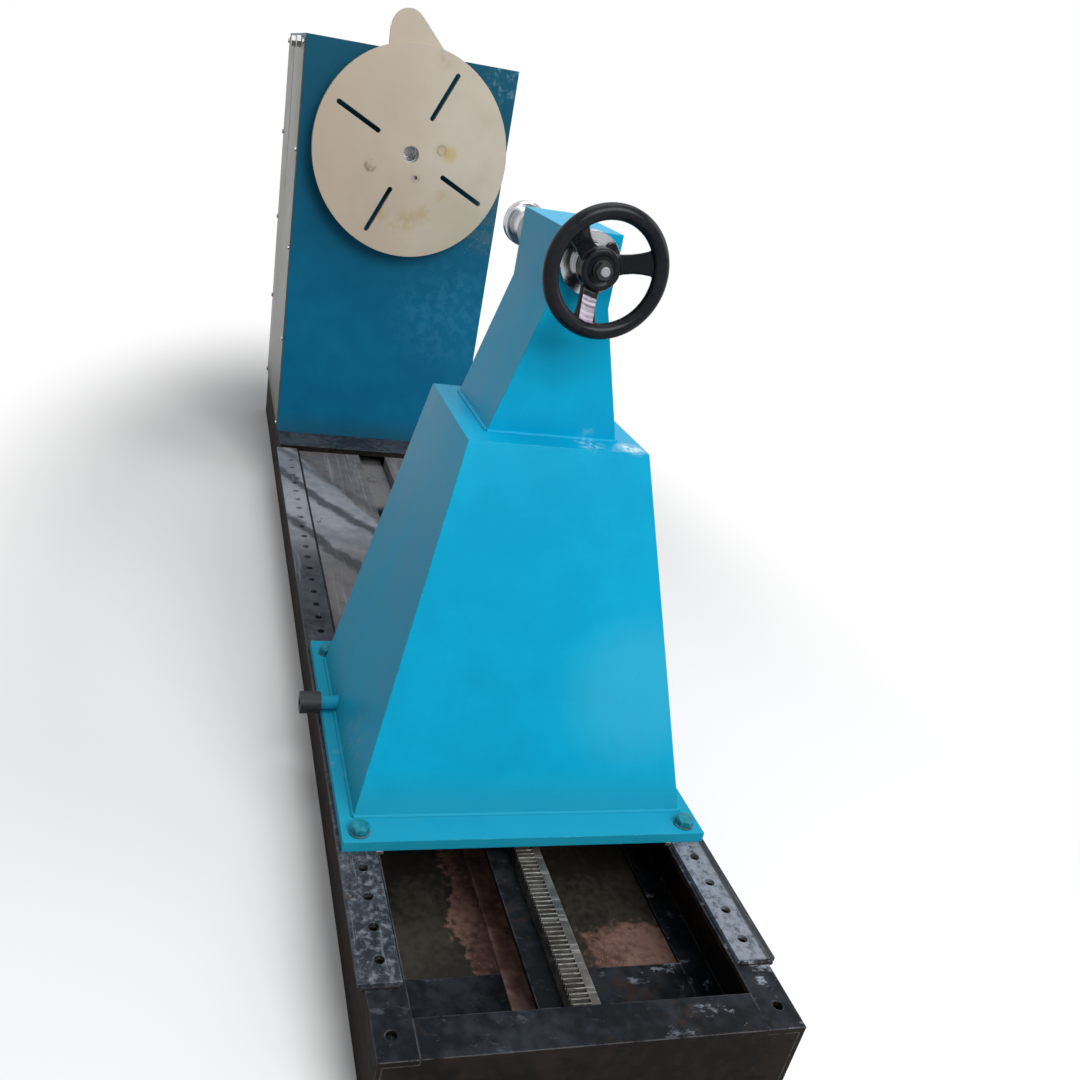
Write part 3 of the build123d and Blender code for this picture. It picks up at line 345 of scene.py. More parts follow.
# %% [markdown]
# Scratches are a noise squeezed along two directions, so that it becomes long thin lines. The
# Stretch input says along which axis they run. A second, slow noise bends them a little.

# %% Node group: scratches
def make_scratches():
    """Mask of fine lines. Stretch is the scale on each axis, small along the lines."""
    inputs = [("Stretch", "NodeSocketVector", (2.0, 90.0, 90.0)), ("Amount", "NodeSocketFloat", 0.5)]
    group, given, made = new_group("scratches", inputs, [("Mask", "NodeSocketFloat")])
    bend = add_node(group, "ShaderNodeTexNoise", {"Vector": object_point(group), "Scale": 3})
    bend_size = (0.03, 0.03, 0.03)
    bent = vector_node(group, "MULTIPLY_ADD", bend.outputs["Color"], bend_size, object_point(group))
    squeezed = vector_node(group, "MULTIPLY", bent, given["Stretch"])
    limit = math_node(group, "SUBTRACT", 1.0, given["Amount"])
    above = math_node(group, "SUBTRACT", noise(group, 1, 8, 0.75, squeezed), limit)
    feed(group, made["Mask"], ramp(group, above, 0.0, 0.08))
    return group


scratches = make_scratches()
print("groups:", [group.name for group in bpy.data.node_groups])

# %% [markdown]
# ## Finishes
# Every finish starts and ends in the same way: a Principled shader, then a colour and a roughness
# that change over the surface, and a bump on edges that are rounded a little. The helpers below
# hold that part, so that each finish shows only what makes it different.

# %% Helpers for the finishes
def new_finish(name, metallic=0.0, specular=0.5):
    """A material with its Principled shader ready."""
    material = bpy.data.materials.new(name)
    material.use_nodes = True
    shader = material.node_tree.nodes["Principled BSDF"]
    shader.inputs["Metallic"].default_value = metallic
    shader.inputs["Specular IOR Level"].default_value = specular
    return material, material.node_tree, shader


def place_group(tree, group, **values):
    """Places a shared node group with its own values and returns its outputs."""
    node = add_node(tree, "ShaderNodeGroup", node_tree=group)
    for name, value in values.items():
        node.inputs[name].default_value = value
    return node.outputs


def uneven(tree, broad, fine, share):
    """A value around 0.5 from two noises, the fine one with the given share."""
    return place_group(tree, uneven_tone, Broad=broad, Fine=fine, Share=share)["Value"]


def worn_edges(tree, width, amount, scale):
    """The mask of worn edges and the rounded surface direction."""
    wear = place_group(tree, edge_wear, Width=width, Amount=amount, Scale=scale)
    return wear["Mask"], wear["Normal"]


def end_finish(tree, shader, colour, rough, height, strength, distance, rounded=None):
    """Gives the shader its colour, its roughness and a bump, on rounded edges where there are any."""
    inputs = {"Strength": strength, "Distance": distance, "Height": height}
    if rounded is not None:
        inputs["Normal"] = rounded
    bump = add_node(tree, "ShaderNodeBump", inputs).outputs["Normal"]
    for name, value in (("Base Color", colour), ("Roughness", rough), ("Normal", bump)):
        feed(tree, shader.inputs[name], value)


def dress(material, *names):
    """Puts a finish on CAD nodes."""
    for name in names:
        materials = nodes[name].data.materials
        materials.clear()
        materials.append(material)


# %% [markdown]
# ## Brushed-on paint
# The machine is painted in one teal by hand, thicker in places, with a soft gloss. Sags and brush
# marks show as a fine bump, edges are rubbed through, and dust lies near the bottom. The tailstock
# is brighter than the headstock, so the same function makes both from two colours. The headstock
# also gets darker towards its top, and that is painted shade.
#
# A paint may have marks of its own, and some of them are painted highlights and painted sheen. Each
# is a place, a radius, the grain of its speckle, how much of the speckle is left out, how strong it
# is, and a colour.

# %% Paint
def make_paint(name, light, dark, scuff, dust_height, dust_colour, wear=0.42, high=None, marks=()):
    """Enamel paint with uneven tone, small scuffs, worn edges, dust low down, its own marks and painted
    highlights, and painted shade towards the top if a high colour is given.
    """
    material, tree, shader = new_finish(name, specular=0.09)
    tone = uneven(tree, 2.2, 14.0, 0.35)
    spread = ramp(tree, tone, 0.36, 0.66)
    colour = blend(tree, spread, dark, light)
    # The high colour is painted shade: the paint gets darker towards the top.
    if high:
        colour = blend(tree, ramp(tree, coordinate(tree, 2), 0.35, 1.30), colour, high)
    lines = place_group(tree, scratches, Stretch=(9.0, 9.0, 55.0), Amount=0.31)["Mask"]
    scuffed = ramp(tree, uneven(tree, 5.0, 20.0, 0.5), 0.52, 0.60)
    colour = blend(tree, product(tree, lines, scuffed, 0.5), colour, scuff)
    low_down = ramp(tree, coordinate(tree, 2), dust_height + 0.09, dust_height)
    dust = product(tree, low_down, tone)
    colour = blend(tree, dust, colour, dust_colour)
    edges, rounded = worn_edges(tree, 0.0025, wear, 38.0)
    colour = blend(tree, edges, colour, scuff)
    # Some marks are painted highlights and painted sheen: pale patches where the gloss catches the light.
    for centre, radius, grain, left_out, strength, patch_colour in marks:
        speckle = ramp(tree, noise(tree, grain, 7, 0.7), left_out, left_out + 0.12)
        patch_mask = product(tree, speckle, blot(tree, centre, radius, radius / 2), strength)
        colour = blend(tree, patch_mask, colour, patch_colour)
    rough = mix_values(tree, dust, mix_values(tree, spread, 0.30, 0.42), 0.7)
    end_finish(tree, shader, colour, rough, uneven(tree, 26.0, 150.0, 0.35), 0.35, 0.0016, rounded)
    return material


# %% Marks and painted highlights in the paint
headstock_marks = (
    ((cabinet_high.x, 0.265, 0.86), 0.045, 95.0, 0.58, 0.8, (0.55, 0.60, 0.60)),
    ((cabinet_high.x, 0.28, 1.33), 0.06, 45.0, 0.50, 0.6, (0.12, 0.26, 0.33)),
    ((cabinet_high.x, 0.30, 0.93), 0.09, 24.0, 0.42, 0.5, (0.08, 0.14, 0.155)),
    ((cabinet_high.x, 0.20, 0.62), 0.16, 30.0, 0.46, 0.35, (0.03, 0.20, 0.33)))
ledge = body_high.z + 0.010
tailstock_marks_and_highlights = (
    ((body_high.x, body_low.y + 0.02, 0.37), 0.018, 190.0, 0.55, 0.8, (0.60, 0.70, 0.72)),
    ((body_high.x, body_low.y + 0.01, 0.275), 0.018, 190.0, 0.55, 0.8, (0.60, 0.70, 0.72)),
    # A broad pale patch on the body's front is painted sheen.
    ((body_high.x - 0.05, 0.20, 0.40), 0.12, 9.0, 0.30, 0.22, (0.10, 0.46, 0.62)),
    # Two pale speckled patches on the ledge are painted highlights.
    ((0.927, 0.135, ledge), 0.022, 75.0, 0.42, 0.9, (0.62, 0.76, 0.80)),
    ((0.925, 0.060, ledge), 0.024, 75.0, 0.46, 0.6, (0.40, 0.66, 0.74)),
    ((body_high.x - 0.15, body_low.y, 0.23), 0.065, 40.0, 0.50, 0.5, (0.16, 0.34, 0.40)))
tailstock_paint = make_paint(
    "tailstock_paint", (0.001, 0.365, 0.600), (0.001, 0.312, 0.525), (0.10, 0.45, 0.60),
    plate_high.z, (0.02, 0.26, 0.35), marks=tailstock_marks_and_highlights)
# The headstock's high colour is painted shade, darker towards its top.
headstock_paint = make_paint(
    "headstock_paint", (0.004, 0.150, 0.290), (0.003, 0.118, 0.235), (0.08, 0.28, 0.40),
    cabinet_low.z, (0.02, 0.09, 0.14), high=(0.005, 0.085, 0.145), marks=headstock_marks)
dress(tailstock_paint, "tailstock_base_plate", "tailstock_body", "tailstock_column", "pinion_bearing_tube")
dress(headstock_paint, "headstock_cabinet", "spindle_pedestal")
print("paints:", tailstock_paint.name, headstock_paint.name)

# %% [markdown]
# The side panels of the headstock are a greyish cream, with a teal-grey patch low down and a dark
# one higher up. The same paint function makes them, with more wear.

# %% Cream paint
panel_x = cabinet_high.x - 0.15
panel_marks = (
    ((panel_x, cabinet_low.y, 0.45), 0.30, 24.0, 0.52, 0.7, (0.10, 0.20, 0.22)),
    ((panel_x, cabinet_low.y, 0.95), 0.40, 75.0, 0.60, 0.7, (0.10, 0.095, 0.08)))
cream_paint = make_paint(
    "cream_paint", (0.32, 0.325, 0.28), (0.21, 0.215, 0.185), (0.30, 0.27, 0.21),
    cabinet_low.z, (0.16, 0.15, 0.12), wear=0.5, marks=panel_marks)
dress(cream_paint, "headstock_side_panel_front", "headstock_side_panel_rear", "headstock_rear_panel")
print("panel marks:", len(panel_marks))

# %% [markdown]
# ## The bed's black paint
# The bed was painted black and has been walked on, dragged on and oiled. Flat tops are blue-grey
# with pale scuffs, edges are bare, and the outer sides have gone brown. The surface direction's
# up part tells a top from a side. The middle channel is rusty below its top flange, and that rust is
# painted much paler than rust, as painted light in the channel's shade.

# %% Bed paint
def make_bed_paint(name, top_dark, top_light, scuff_share, rusty_below=False):
    """Old black paint: scuffed tops, brown sides, bare edges, and perhaps rust below the top, painted pale
    as painted light for the shade there.
    """
    material, tree, shader = new_finish(name, specular=0.07)
    spread = ramp(tree, uneven(tree, 5.0, 46.0, 0.45), 0.40, 0.62)
    top = blend(tree, spread, top_dark, top_light)
    side = blend(tree, spread, (0.007, 0.0055, 0.005), (0.021, 0.015, 0.012))
    facing = add_node(tree, "ShaderNodeNewGeometry").outputs["Normal"]
    upward = ramp(tree, part_of(tree, facing, 2), 0.3, 0.8)
    colour = blend(tree, upward, side, top)
    if rusty_below:
        below_top = ramp(tree, coordinate(tree, 2), 0.106, 0.100)
        # The rust below the top is painted far paler than rust, as painted light in the shade inside the
        # channel.
        flaking_rust_painted_pale = blend(tree, spread, (0.24, 0.125, 0.10), (0.60, 0.36, 0.29))
        colour = blend(tree, below_top, colour, flaking_rust_painted_pale)
        behind_tailstock = ramp(tree, coordinate(tree, 0), -0.34, -0.40)
        colour = blend(tree, behind_tailstock, colour, (0.20, 0.195, 0.20))
    rust = ramp(tree, uneven(tree, 9.0, 60.0, 0.4), 0.56, 0.66)
    colour = blend(tree, product(tree, rust, 0.45), colour, (0.040, 0.022, 0.014))
    lines = place_group(tree, scratches, Stretch=(30.0, 17.0, 26.0), Amount=0.43)["Mask"]
    near_front = ramp(tree, coordinate(tree, 0), bed_front - 0.75, bed_front - 0.1)
    right_side = ramp(tree, coordinate(tree, 1), 0.05, 0.28)
    scuffed = math_node(tree, "ADD", product(tree, near_front, right_side), scuff_share)
    colour = blend(tree, product(tree, lines, upward, scuffed), colour, (0.24, 0.26, 0.30))
    edges, rounded = worn_edges(tree, 0.003, 0.55, 30.0)
    colour = blend(tree, product(tree, edges, 0.75), colour, (0.16, 0.16, 0.17))
    end_finish(tree, shader, colour, mix_values(tree, spread, 0.48, 0.66), lines, 0.35, 0.0012, rounded)
    return material


bed_paint = make_bed_paint("bed_paint", (0.005, 0.006, 0.008), (0.022, 0.025, 0.032), 0.16)
plate_paint = make_bed_paint("plate_paint", (0.020, 0.026, 0.034), (0.054, 0.066, 0.084), 0.22)
beam_paint = make_bed_paint("beam_paint", (0.004, 0.005, 0.006), (0.016, 0.018, 0.022), 0.10, True)
dress(bed_paint, "bed_side_beam_left", "bed_side_beam_right", "bed_end_beam_front", "bed_end_beam_rear",
      "bed_cross_ties")
dress(beam_paint, "rack_beam")
dress(plate_paint, "headstock_base_plate")
print("bed paints:", bed_paint.name, plate_paint.name, beam_paint.name)

# %% [markdown]
# Inside the frame, thin sheets close the bed below. They are olive and dusty, with a rust-brown
# band beside the rack beam on the left and a rusty corner at the front on the right. The bands
# come from the across and along coordinates, broken by noise so that no border is straight.

# %% Sheets under the bed
def make_sheet_finish():
    """Dull olive sheet with two rusty areas, speckled with dust."""
    material, tree, shader = new_finish("bed_sheet", specular=0.2)
    tone = uneven(tree, 7.0, 70.0, 0.45)
    spread = ramp(tree, tone, 0.38, 0.64)
    olive = blend(tree, spread, (0.013, 0.0115, 0.0085), (0.036, 0.033, 0.024))
    rust = blend(tree, spread, (0.062, 0.030, 0.024), (0.185, 0.105, 0.082))
    wander = product(tree, math_node(tree, "SUBTRACT", tone, 0.5), 0.16)
    along = math_node(tree, "ADD", coordinate(tree, 0), wander)
    across = math_node(tree, "ADD", coordinate(tree, 1), wander)
    left_band = product(tree, ramp(tree, across, -0.122, -0.108), ramp(tree, across, 0.0, -0.02))
    near_front = ramp(tree, along, bed_front - 0.36, bed_front - 0.33)
    corner = product(tree, near_front, ramp(tree, across, 0.09, 0.12))
    rusty = math_node(tree, "MAXIMUM", left_band, corner)
    colour = blend(tree, rusty, olive, rust)
    grit = product(tree, ramp(tree, grains(tree, 150.0), 0.20, 0.10), rusty, 0.5)
    colour = blend(tree, grit, colour, (0.36, 0.27, 0.23))
    end_finish(tree, shader, colour, mix_values(tree, spread, 0.55, 0.8), grit, 0.5, 0.001)
    return material


dress(make_sheet_finish(), "bed_bottom_sheets")

# %% [markdown]
# ## The deck's painted reflection and shadow
# Between the headstock and the tailstock the deck plates carry painted reflection and shadow. They
# are painted pale at the back left and dull and shaded to the right and front, and two dark painted
# streaks and a fainter one cross them aslant. The strips and the middle channel beside the deck share
# this look, so it is a node group that gives out a colour.
# A slanted border is a line across the deck: the dot product of a place with the line's own
# sideways direction says how far to its left the place is.

# %% Node group: deck tones
def make_deck_painted_light():
    """Grey deck colour of painted reflection and shadow: pale at the back left, painted shade to the right
    and front, with dark painted streaks.
    """
    group, _, made = new_group("deck_tones", [], [("Color", "NodeSocketColor")])
    tone = uneven(group, 5.0, 30.0, 0.4)
    spread = ramp(group, tone, 0.36, 0.66)
    wander = product(group, math_node(group, "SUBTRACT", tone, 0.5), 0.10)

    def left_of_line(angle, offset):
        """Distance to the left of a line across the deck, a little wavy."""
        sideways = (-math.sin(angle), math.cos(angle), 0)
        away = vector_node(group, "DOT_PRODUCT", object_point(group), sideways)
        return math_node(group, "ADD", math_node(group, "SUBTRACT", away, offset), wander)

    # Pale painted reflection at the back left, painted shade to the right and front.
    pale = blend(group, spread, (0.20, 0.215, 0.245), (0.34, 0.355, 0.39))
    dull = blend(group, spread, (0.095, 0.092, 0.098), (0.17, 0.165, 0.17))
    right = ramp(group, left_of_line(0.375, -0.009), -0.006, 0.010)
    front = ramp(group, coordinate(group, 0), -0.10, 0.12)
    colour = blend(group, math_node(group, "MAXIMUM", right, front), pale, dull)
    # Dark painted streaks that stand for reflection and shadow across the deck.
    for offset, half_width, strength in ((-0.031, 0.014, 0.85), (-0.204, 0.016, 0.85), (0.075, 0.012, 0.5)):
        away = math_node(group, "ABSOLUTE", left_of_line(0.535, offset))
        streak = product(group, ramp(group, away, half_width + 0.012, half_width - 0.008), strength)
        colour = blend(group, streak, colour, (0.040, 0.042, 0.046))
    feed(group, made["Color"], colour)
    return group


deck_tones = make_deck_painted_light()
print("group", deck_tones.name)

# %% [markdown]
# ## Bare and oiled steel
# Slide strips, rack, deck plates, faceplate and turned pieces are bare steel, but each looks
# different: ground and scratched along the bed, oiled dark, rolled, or turned in fine rings. One
# function makes the straight kinds, with lines along one axis, uneven oil and spots of rust.
#
# The strips are spattered and rubbed pale near the front, most of all on the right, and their outer
# margin has kept its black paint.

# %% Straight steel
def add_spatter(tree, colour, amount, spatter_colour):
    """Pale spatter near the front, a rubbed right side and a dark outer margin."""
    speckle = noise(tree, 75.0, 7, 0.75)
    across = coordinate(tree, 1)
    near_front = ramp(tree, coordinate(tree, 0), plate_high.x - 0.4, plate_high.x + 0.1)
    spattered = product(tree, ramp(tree, speckle, 0.46, 0.66), near_front, amount)
    colour = blend(tree, spattered, colour, spatter_colour)
    broken = ramp(tree, speckle, 0.30, 0.56)
    rubbed = product(tree, ramp(tree, across, 0.0, 0.2), near_front, broken, amount)
    colour = blend(tree, rubbed, colour, (0.26, 0.295, 0.345))
    margin = ramp(tree, across, plate_high.y - 0.012, plate_high.y - 0.006)
    return blend(tree, product(tree, margin, 0.9), colour, (0.012, 0.014, 0.017))


def make_steel(name, dark, light, stretch, roughness, metallic, rust_share, wear_colour, specular=0.5,
               deck_light_span=None, spatter=0.0):
    """Bare steel. It takes the deck's painted reflection and shadow from one place along the bed to
    another, if given.
    """
    material, tree, shader = new_finish(name, metallic, specular)
    spread = ramp(tree, uneven(tree, 4.0, 40.0, 0.4), 0.38, 0.64)
    colour = blend(tree, spread, dark, light)
    # The deck's look is painted reflection and shadow.
    if deck_light_span:
        deck_light_share = ramp(tree, coordinate(tree, 0), *deck_light_span)
        colour = blend(tree, deck_light_share, colour, place_group(tree, deck_tones)["Color"])
    if spatter:
        colour = add_spatter(tree, colour, spatter, wear_colour)
    lines = place_group(tree, scratches, Stretch=stretch, Amount=0.46)["Mask"]
    colour = blend(tree, product(tree, lines, 0.5), colour, wear_colour)
    rust = product(tree, ramp(tree, uneven(tree, 14.0, 90.0, 0.5), 0.60, 0.68), rust_share)
    colour = blend(tree, rust, colour, (0.10, 0.055, 0.03))
    edges, rounded = worn_edges(tree, 0.0015, 0.5, 60.0)
    colour = blend(tree, edges, colour, wear_colour)
    rough = mix_values(tree, rust, mix_values(tree, spread, roughness - 0.08, roughness + 0.12), 0.85)
    end_finish(tree, shader, colour, rough, lines, 0.15, 0.0005, rounded)
    return material


# Strips and deck plates take the deck's painted reflection and shadow.
strip_steel = make_steel("strip_steel", (0.016, 0.019, 0.025), (0.060, 0.068, 0.082), (3.0, 60.0, 60.0),
                         0.50, 0.1, 0.5, (0.20, 0.215, 0.245), 0.12, deck_light_span=(0.20, -0.05), spatter=0.75)
rack_steel = make_steel("rack_steel", (0.060, 0.055, 0.048), (0.155, 0.145, 0.13), (60.0, 4.0, 60.0),
                        0.42, 0.45, 0.5, (0.36, 0.35, 0.33), 0.4)
everywhere = (bed_front + 2, bed_front + 1)
deck_steel = make_steel("deck_steel", (0.085, 0.092, 0.108), (0.20, 0.21, 0.245), (1.5, 40.0, 40.0),
                        0.52, 0.1, 0.6, (0.28, 0.29, 0.32), 0.25, deck_light_span=everywhere)
plain_steel = make_steel("plain_steel", (0.26, 0.26, 0.26), (0.46, 0.46, 0.46), (30.0, 30.0, 30.0),
                         0.34, 0.85, 0.3, (0.58, 0.58, 0.58))
dress(strip_steel, "slide_strip_left", "slide_strip_right")
dress(rack_steel, "gear_rack_front", "gear_rack_rear", "rack_pinion", "rack_keeper_bar")
dress(deck_steel, "deck_plate_left", "deck_plate_right")
dress(plain_steel, "tailstock_guide_bars", "pinion_shaft", "pinion_shaft_collar", "quill_key",
      "headstock_side_bolts", "headstock_panel_screws", "faceplate_hub_bolts",
      "gearmotor_output_shaft", "live_centre_bearings", "spindle_bearing_rings")
print("steels:", strip_steel.name, rack_steel.name, deck_steel.name, plain_steel.name)

# %% [markdown]
# A turned piece has rings round its axis. The distance from the axis goes through a noise of one
# dimension, which makes rings of uneven strength.

# %% Turned steel
def distance_from_spindle(tree):
    """Distance from the spindle's axis, in metres."""
    moved = vector_node(tree, "SUBTRACT", object_point(tree), (0, 0, spindle_z))
    return vector_node(tree, "LENGTH", vector_node(tree, "MULTIPLY", moved, (0, 1, 1)))


def turned_rings(tree, scale, detail):
    """A value that is the same all round each ring about the spindle's axis."""
    inputs = {"W": distance_from_spindle(tree), "Scale": scale, "Detail": detail}
    return add_node(tree, "ShaderNodeTexNoise", inputs, noise_dimensions="1D").outputs["Fac"]


def make_turned(name, dark, light, roughness, metallic, ring_scale=260.0):
    """Turned steel with rings round the spindle's axis."""
    material, tree, shader = new_finish(name, metallic)
    rings = turned_rings(tree, ring_scale, 6)
    tone = uneven(tree, 6.0, 50.0, 0.3)
    spread = ramp(tree, mix_values(tree, ramp(tree, tone, 0.2, 0.8), rings, tone), 0.36, 0.66)
    colour = blend(tree, spread, dark, light)
    rough = mix_values(tree, spread, roughness - 0.05, roughness + 0.08)
    rounded = worn_edges(tree, 0.0012, 0.4, 80.0)[1]
    end_finish(tree, shader, colour, rough, rings, 0.06, 0.0004, rounded)
    return material


turned_steel = make_turned("turned_steel", (0.34, 0.34, 0.35), (0.55, 0.55, 0.56), 0.28, 0.9)
bright_chrome = make_turned("bright_chrome", (0.34, 0.35, 0.37), (0.56, 0.57, 0.59), 0.16, 1.0)
dull_barrel = make_turned("dull_barrel", (0.20, 0.20, 0.23), (0.34, 0.34, 0.38), 0.36, 0.7)
bronze = make_turned("bronze", (0.32, 0.17, 0.06), (0.50, 0.29, 0.12), 0.35, 0.85)
dress(turned_steel, "main_spindle", "spindle_lock_nut")
dress(bright_chrome, "quill", "live_centre", "screw_flange")
dress(dull_barrel, "quill_sleeve", "quill_screw")
dress(bronze, "quill_nut")
print("turned:", turned_steel.name, bright_chrome.name, dull_barrel.name, bronze.name)

# %% [markdown]
# The faceplate is dull and warm. It has oil spots and stains, and two ring marks that clamps left.
# A ring mark is given by its place, radius and strength, and a stain has a colour as well.

# %% Faceplate
def make_faceplate_steel(ring_marks, stains):
    """Warm grey turned plate with oil stains, finger marks and ring marks."""
    material, tree, shader = new_finish("faceplate_steel", metallic=0.1, specular=0.35)
    spread = ramp(tree, uneven(tree, 3.4, 16.0, 0.25), 0.36, 0.66)
    colour = blend(tree, spread, (0.415, 0.378, 0.300), (0.500, 0.455, 0.375))
    warm = ramp(tree, coordinate(tree, 1), 0.25, -0.30)
    colour = blend(tree, product(tree, warm, 0.7), colour, (0.440, 0.345, 0.262))
    spots = uneven(tree, 16.0, 60.0, 0.4)
    lower_half = ramp(tree, coordinate(tree, 2), spindle_z, spindle_z - 0.2)
    oil = product(tree, ramp(tree, spots, 0.60, 0.68), lower_half, 0.5)
    colour = blend(tree, oil, colour, (0.42, 0.32, 0.16))
    for y, z, radius, strength in ring_marks:
        away = vector_node(tree, "DISTANCE", object_point(tree), (face_high.x, y, z))
        off_ring = math_node(tree, "ABSOLUTE", math_node(tree, "SUBTRACT", away, radius))
        ring = product(tree, ramp(tree, off_ring, 0.005, 0.001), ramp(tree, spots, 0.46, 0.56), strength)
        colour = blend(tree, ring, colour, (0.16, 0.13, 0.10))
    for y, z, radius, strength, stain_colour in stains:
        inside = blot(tree, (face_high.x, y, z), radius, radius * 0.7)
        stain = product(tree, inside, ramp(tree, spots, 0.40, 0.58), strength)
        colour = blend(tree, stain, colour, stain_colour)
    edges, rounded = worn_edges(tree, 0.0015, 0.5, 50.0)
    colour = blend(tree, edges, colour, (0.56, 0.52, 0.45))
    rough = mix_values(tree, oil, mix_values(tree, spread, 0.42, 0.56), 0.25)
    end_finish(tree, shader, colour, rough, turned_rings(tree, 420, 5), 0.05, 0.0003, rounded)
    return material


clamp_rings = ((-0.119, spindle_z - 0.047, 0.014, 0.85), (0.092, spindle_z + 0.023, 0.013, 0.55))
face_stains = ((-0.119, spindle_z - 0.049, 0.016, 0.6, (0.20, 0.12, 0.07)),
               (0.119, spindle_z + 0.015, 0.020, 0.8, (0.44, 0.34, 0.10)),
               (0.092, spindle_z + 0.023, 0.018, 0.5, (0.34, 0.26, 0.14)),
               (0.071, spindle_z + 0.266, 0.024, 0.4, (0.30, 0.24, 0.16)),
               (0.009, spindle_z - 0.186, 0.028, 0.7, (0.38, 0.28, 0.13)),
               (-0.073, spindle_z - 0.176, 0.022, 0.6, (0.38, 0.28, 0.14)),
               (0.108, spindle_z - 0.106, 0.020, 0.5, (0.38, 0.29, 0.15)),
               (0.060, spindle_z - 0.165, 0.026, 0.6, (0.37, 0.28, 0.14)),
               (0.021, spindle_z - 0.063, 0.013, 0.7, (0.14, 0.08, 0.04)))
dress(make_faceplate_steel(clamp_rings, face_stains), "faceplate", "faceplate_tongue")
print("ring marks:", len(clamp_rings), "stains:", len(face_stains))

# %% [markdown]
# ## Cast iron, black enamel and rubber
# The bearing housings and pulleys are rough castings, the handwheel and bolt heads are black and
# smooth, and the belt is matt.

# %% Dark finishes
def make_cast(name, dark, light, roughness, grain, specular=0.5, metallic=0.0):
    """A cast or moulded surface with a fine even grain."""
    material, tree, shader = new_finish(name, metallic, specular)
    spread = ramp(tree, uneven(tree, 7.0, 120.0, 0.5), 0.38, 0.62)
    colour = blend(tree, spread, dark, light)
    edges, rounded = worn_edges(tree, 0.0012, 0.36, 70.0)
    colour = blend(tree, product(tree, edges, 0.25), colour, (0.12, 0.12, 0.13))
    rough = mix_values(tree, spread, roughness - 0.05, roughness + 0.08)
    end_finish(tree, shader, colour, rough, grains(tree, grain), 0.12, 0.0006, rounded)
    return material


cast_iron = make_cast("cast_iron", (0.05, 0.05, 0.052), (0.11, 0.11, 0.112), 0.6, 300.0, metallic=0.4)
motor_paint = make_cast("motor_paint", (0.035, 0.05, 0.062), (0.06, 0.08, 0.095), 0.45, 200.0)
black_enamel = make_cast("black_enamel", (0.005, 0.006, 0.009), (0.011, 0.012, 0.016), 0.17, 90.0, 0.12)
black_oxide = make_cast("black_oxide", (0.011, 0.011, 0.013), (0.028, 0.028, 0.032), 0.42, 400.0, 0.25)
belt_rubber = make_cast("belt_rubber", (0.010, 0.010, 0.010), (0.022, 0.022, 0.022), 0.8, 500.0)
dress(cast_iron, "spindle_bearing_front", "spindle_bearing_rear", "spindle_pulley", "gearmotor_pulley",
      "pinion_bearing_block")
dress(motor_paint, "gearmotor")
dress(black_oxide, "crank_hub", "screw_flange_screws", "handwheel_nut")
dress(belt_rubber, "drive_belt")
print("finishes:", len(bpy.data.materials))

# %% [markdown]
# ## Helpers for modelling
# The pieces below start from a primitive and are shaped in edit mode. An operator works on all
# that is selected, so each helper first clears the selection and then picks one piece, or the
# faces of a piece that pass a test of their place and direction.

# %% Selection helpers
def take(piece, *others):
    """Leaves edit mode and selects the given pieces alone, the first one active."""
    if bpy.context.object and bpy.context.object.mode != "OBJECT":
        bpy.ops.object.mode_set(mode="OBJECT")
    bpy.ops.object.select_all(action="DESELECT")
    for one in (piece, *others):
        one.select_set(True)
    bpy.context.view_layer.objects.active = piece


def settle(piece):
    """Moves a piece's place, turn and size into its mesh."""
    take(piece)
    bpy.ops.object.transform_apply(location=True, rotation=True, scale=True)


def pick_faces(piece, test):
    """Goes into edit mode with only those faces selected that pass the test."""
    take(piece)
    bpy.ops.object.mode_set(mode="EDIT")
    bpy.ops.mesh.select_mode(type="FACE")
    bpy.ops.mesh.select_all(action="DESELECT")
    bpy.ops.object.mode_set(mode="OBJECT")
    for face in piece.data.polygons:
        face.select = test(face.center, face.normal)
    bpy.ops.object.mode_set(mode="EDIT")


def extrude_on(move, scale=(1, 1, 1), centre=(0, 0, 0)):
    """Extrudes the selected faces, then scales them about a centre."""
    bpy.ops.mesh.extrude_region_move(TRANSFORM_OT_translate={"value": move})
    bpy.ops.transform.resize(value=scale, center_override=centre)


# %% Modifiers, copies and the last step
def apply_modifier(piece, kind, **values):
    """Adds a modifier, sets it and applies it."""
    take(piece)
    bpy.ops.object.modifier_add(type=kind)
    modifier = piece.modifiers[-1]
    for name, value in values.items():
        setattr(modifier, name, value)
    bpy.ops.object.modifier_apply(modifier=modifier.name)


def roughen(piece, clouds, depth):
    """Pushes the surface in and out by a cloud texture."""
    apply_modifier(piece, "DISPLACE", texture=clouds, texture_coords="LOCAL", strength=depth, mid_level=0.5)


def copy_of(piece):
    """A copy with its own mesh."""
    take(piece)
    bpy.ops.object.duplicate(linked=False)
    return bpy.context.object


def join(first, *others):
    """Joins pieces into the first one."""
    take(first, *others)
    bpy.ops.object.join()
    return first


def complete(piece, name, material, body, replaced=None, angle=0.6):
    """Names a piece, gives it its finish and says which body carries it."""
    settle(piece)
    bpy.ops.object.shade_smooth_by_angle(angle=angle)
    piece.name = name
    piece.data.name = name
    piece.data.materials.clear()
    piece.data.materials.append(material)
    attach(piece, body)
    if replaced:
        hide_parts(replaced)
    print(name, "faces:", len(piece.data.polygons))


# %% [markdown]
# A turned piece is a cylinder whose end face is extruded and scaled from step to step, as a lathe
# goes along its profile. The profile is a list of places along the axis with the radius there.

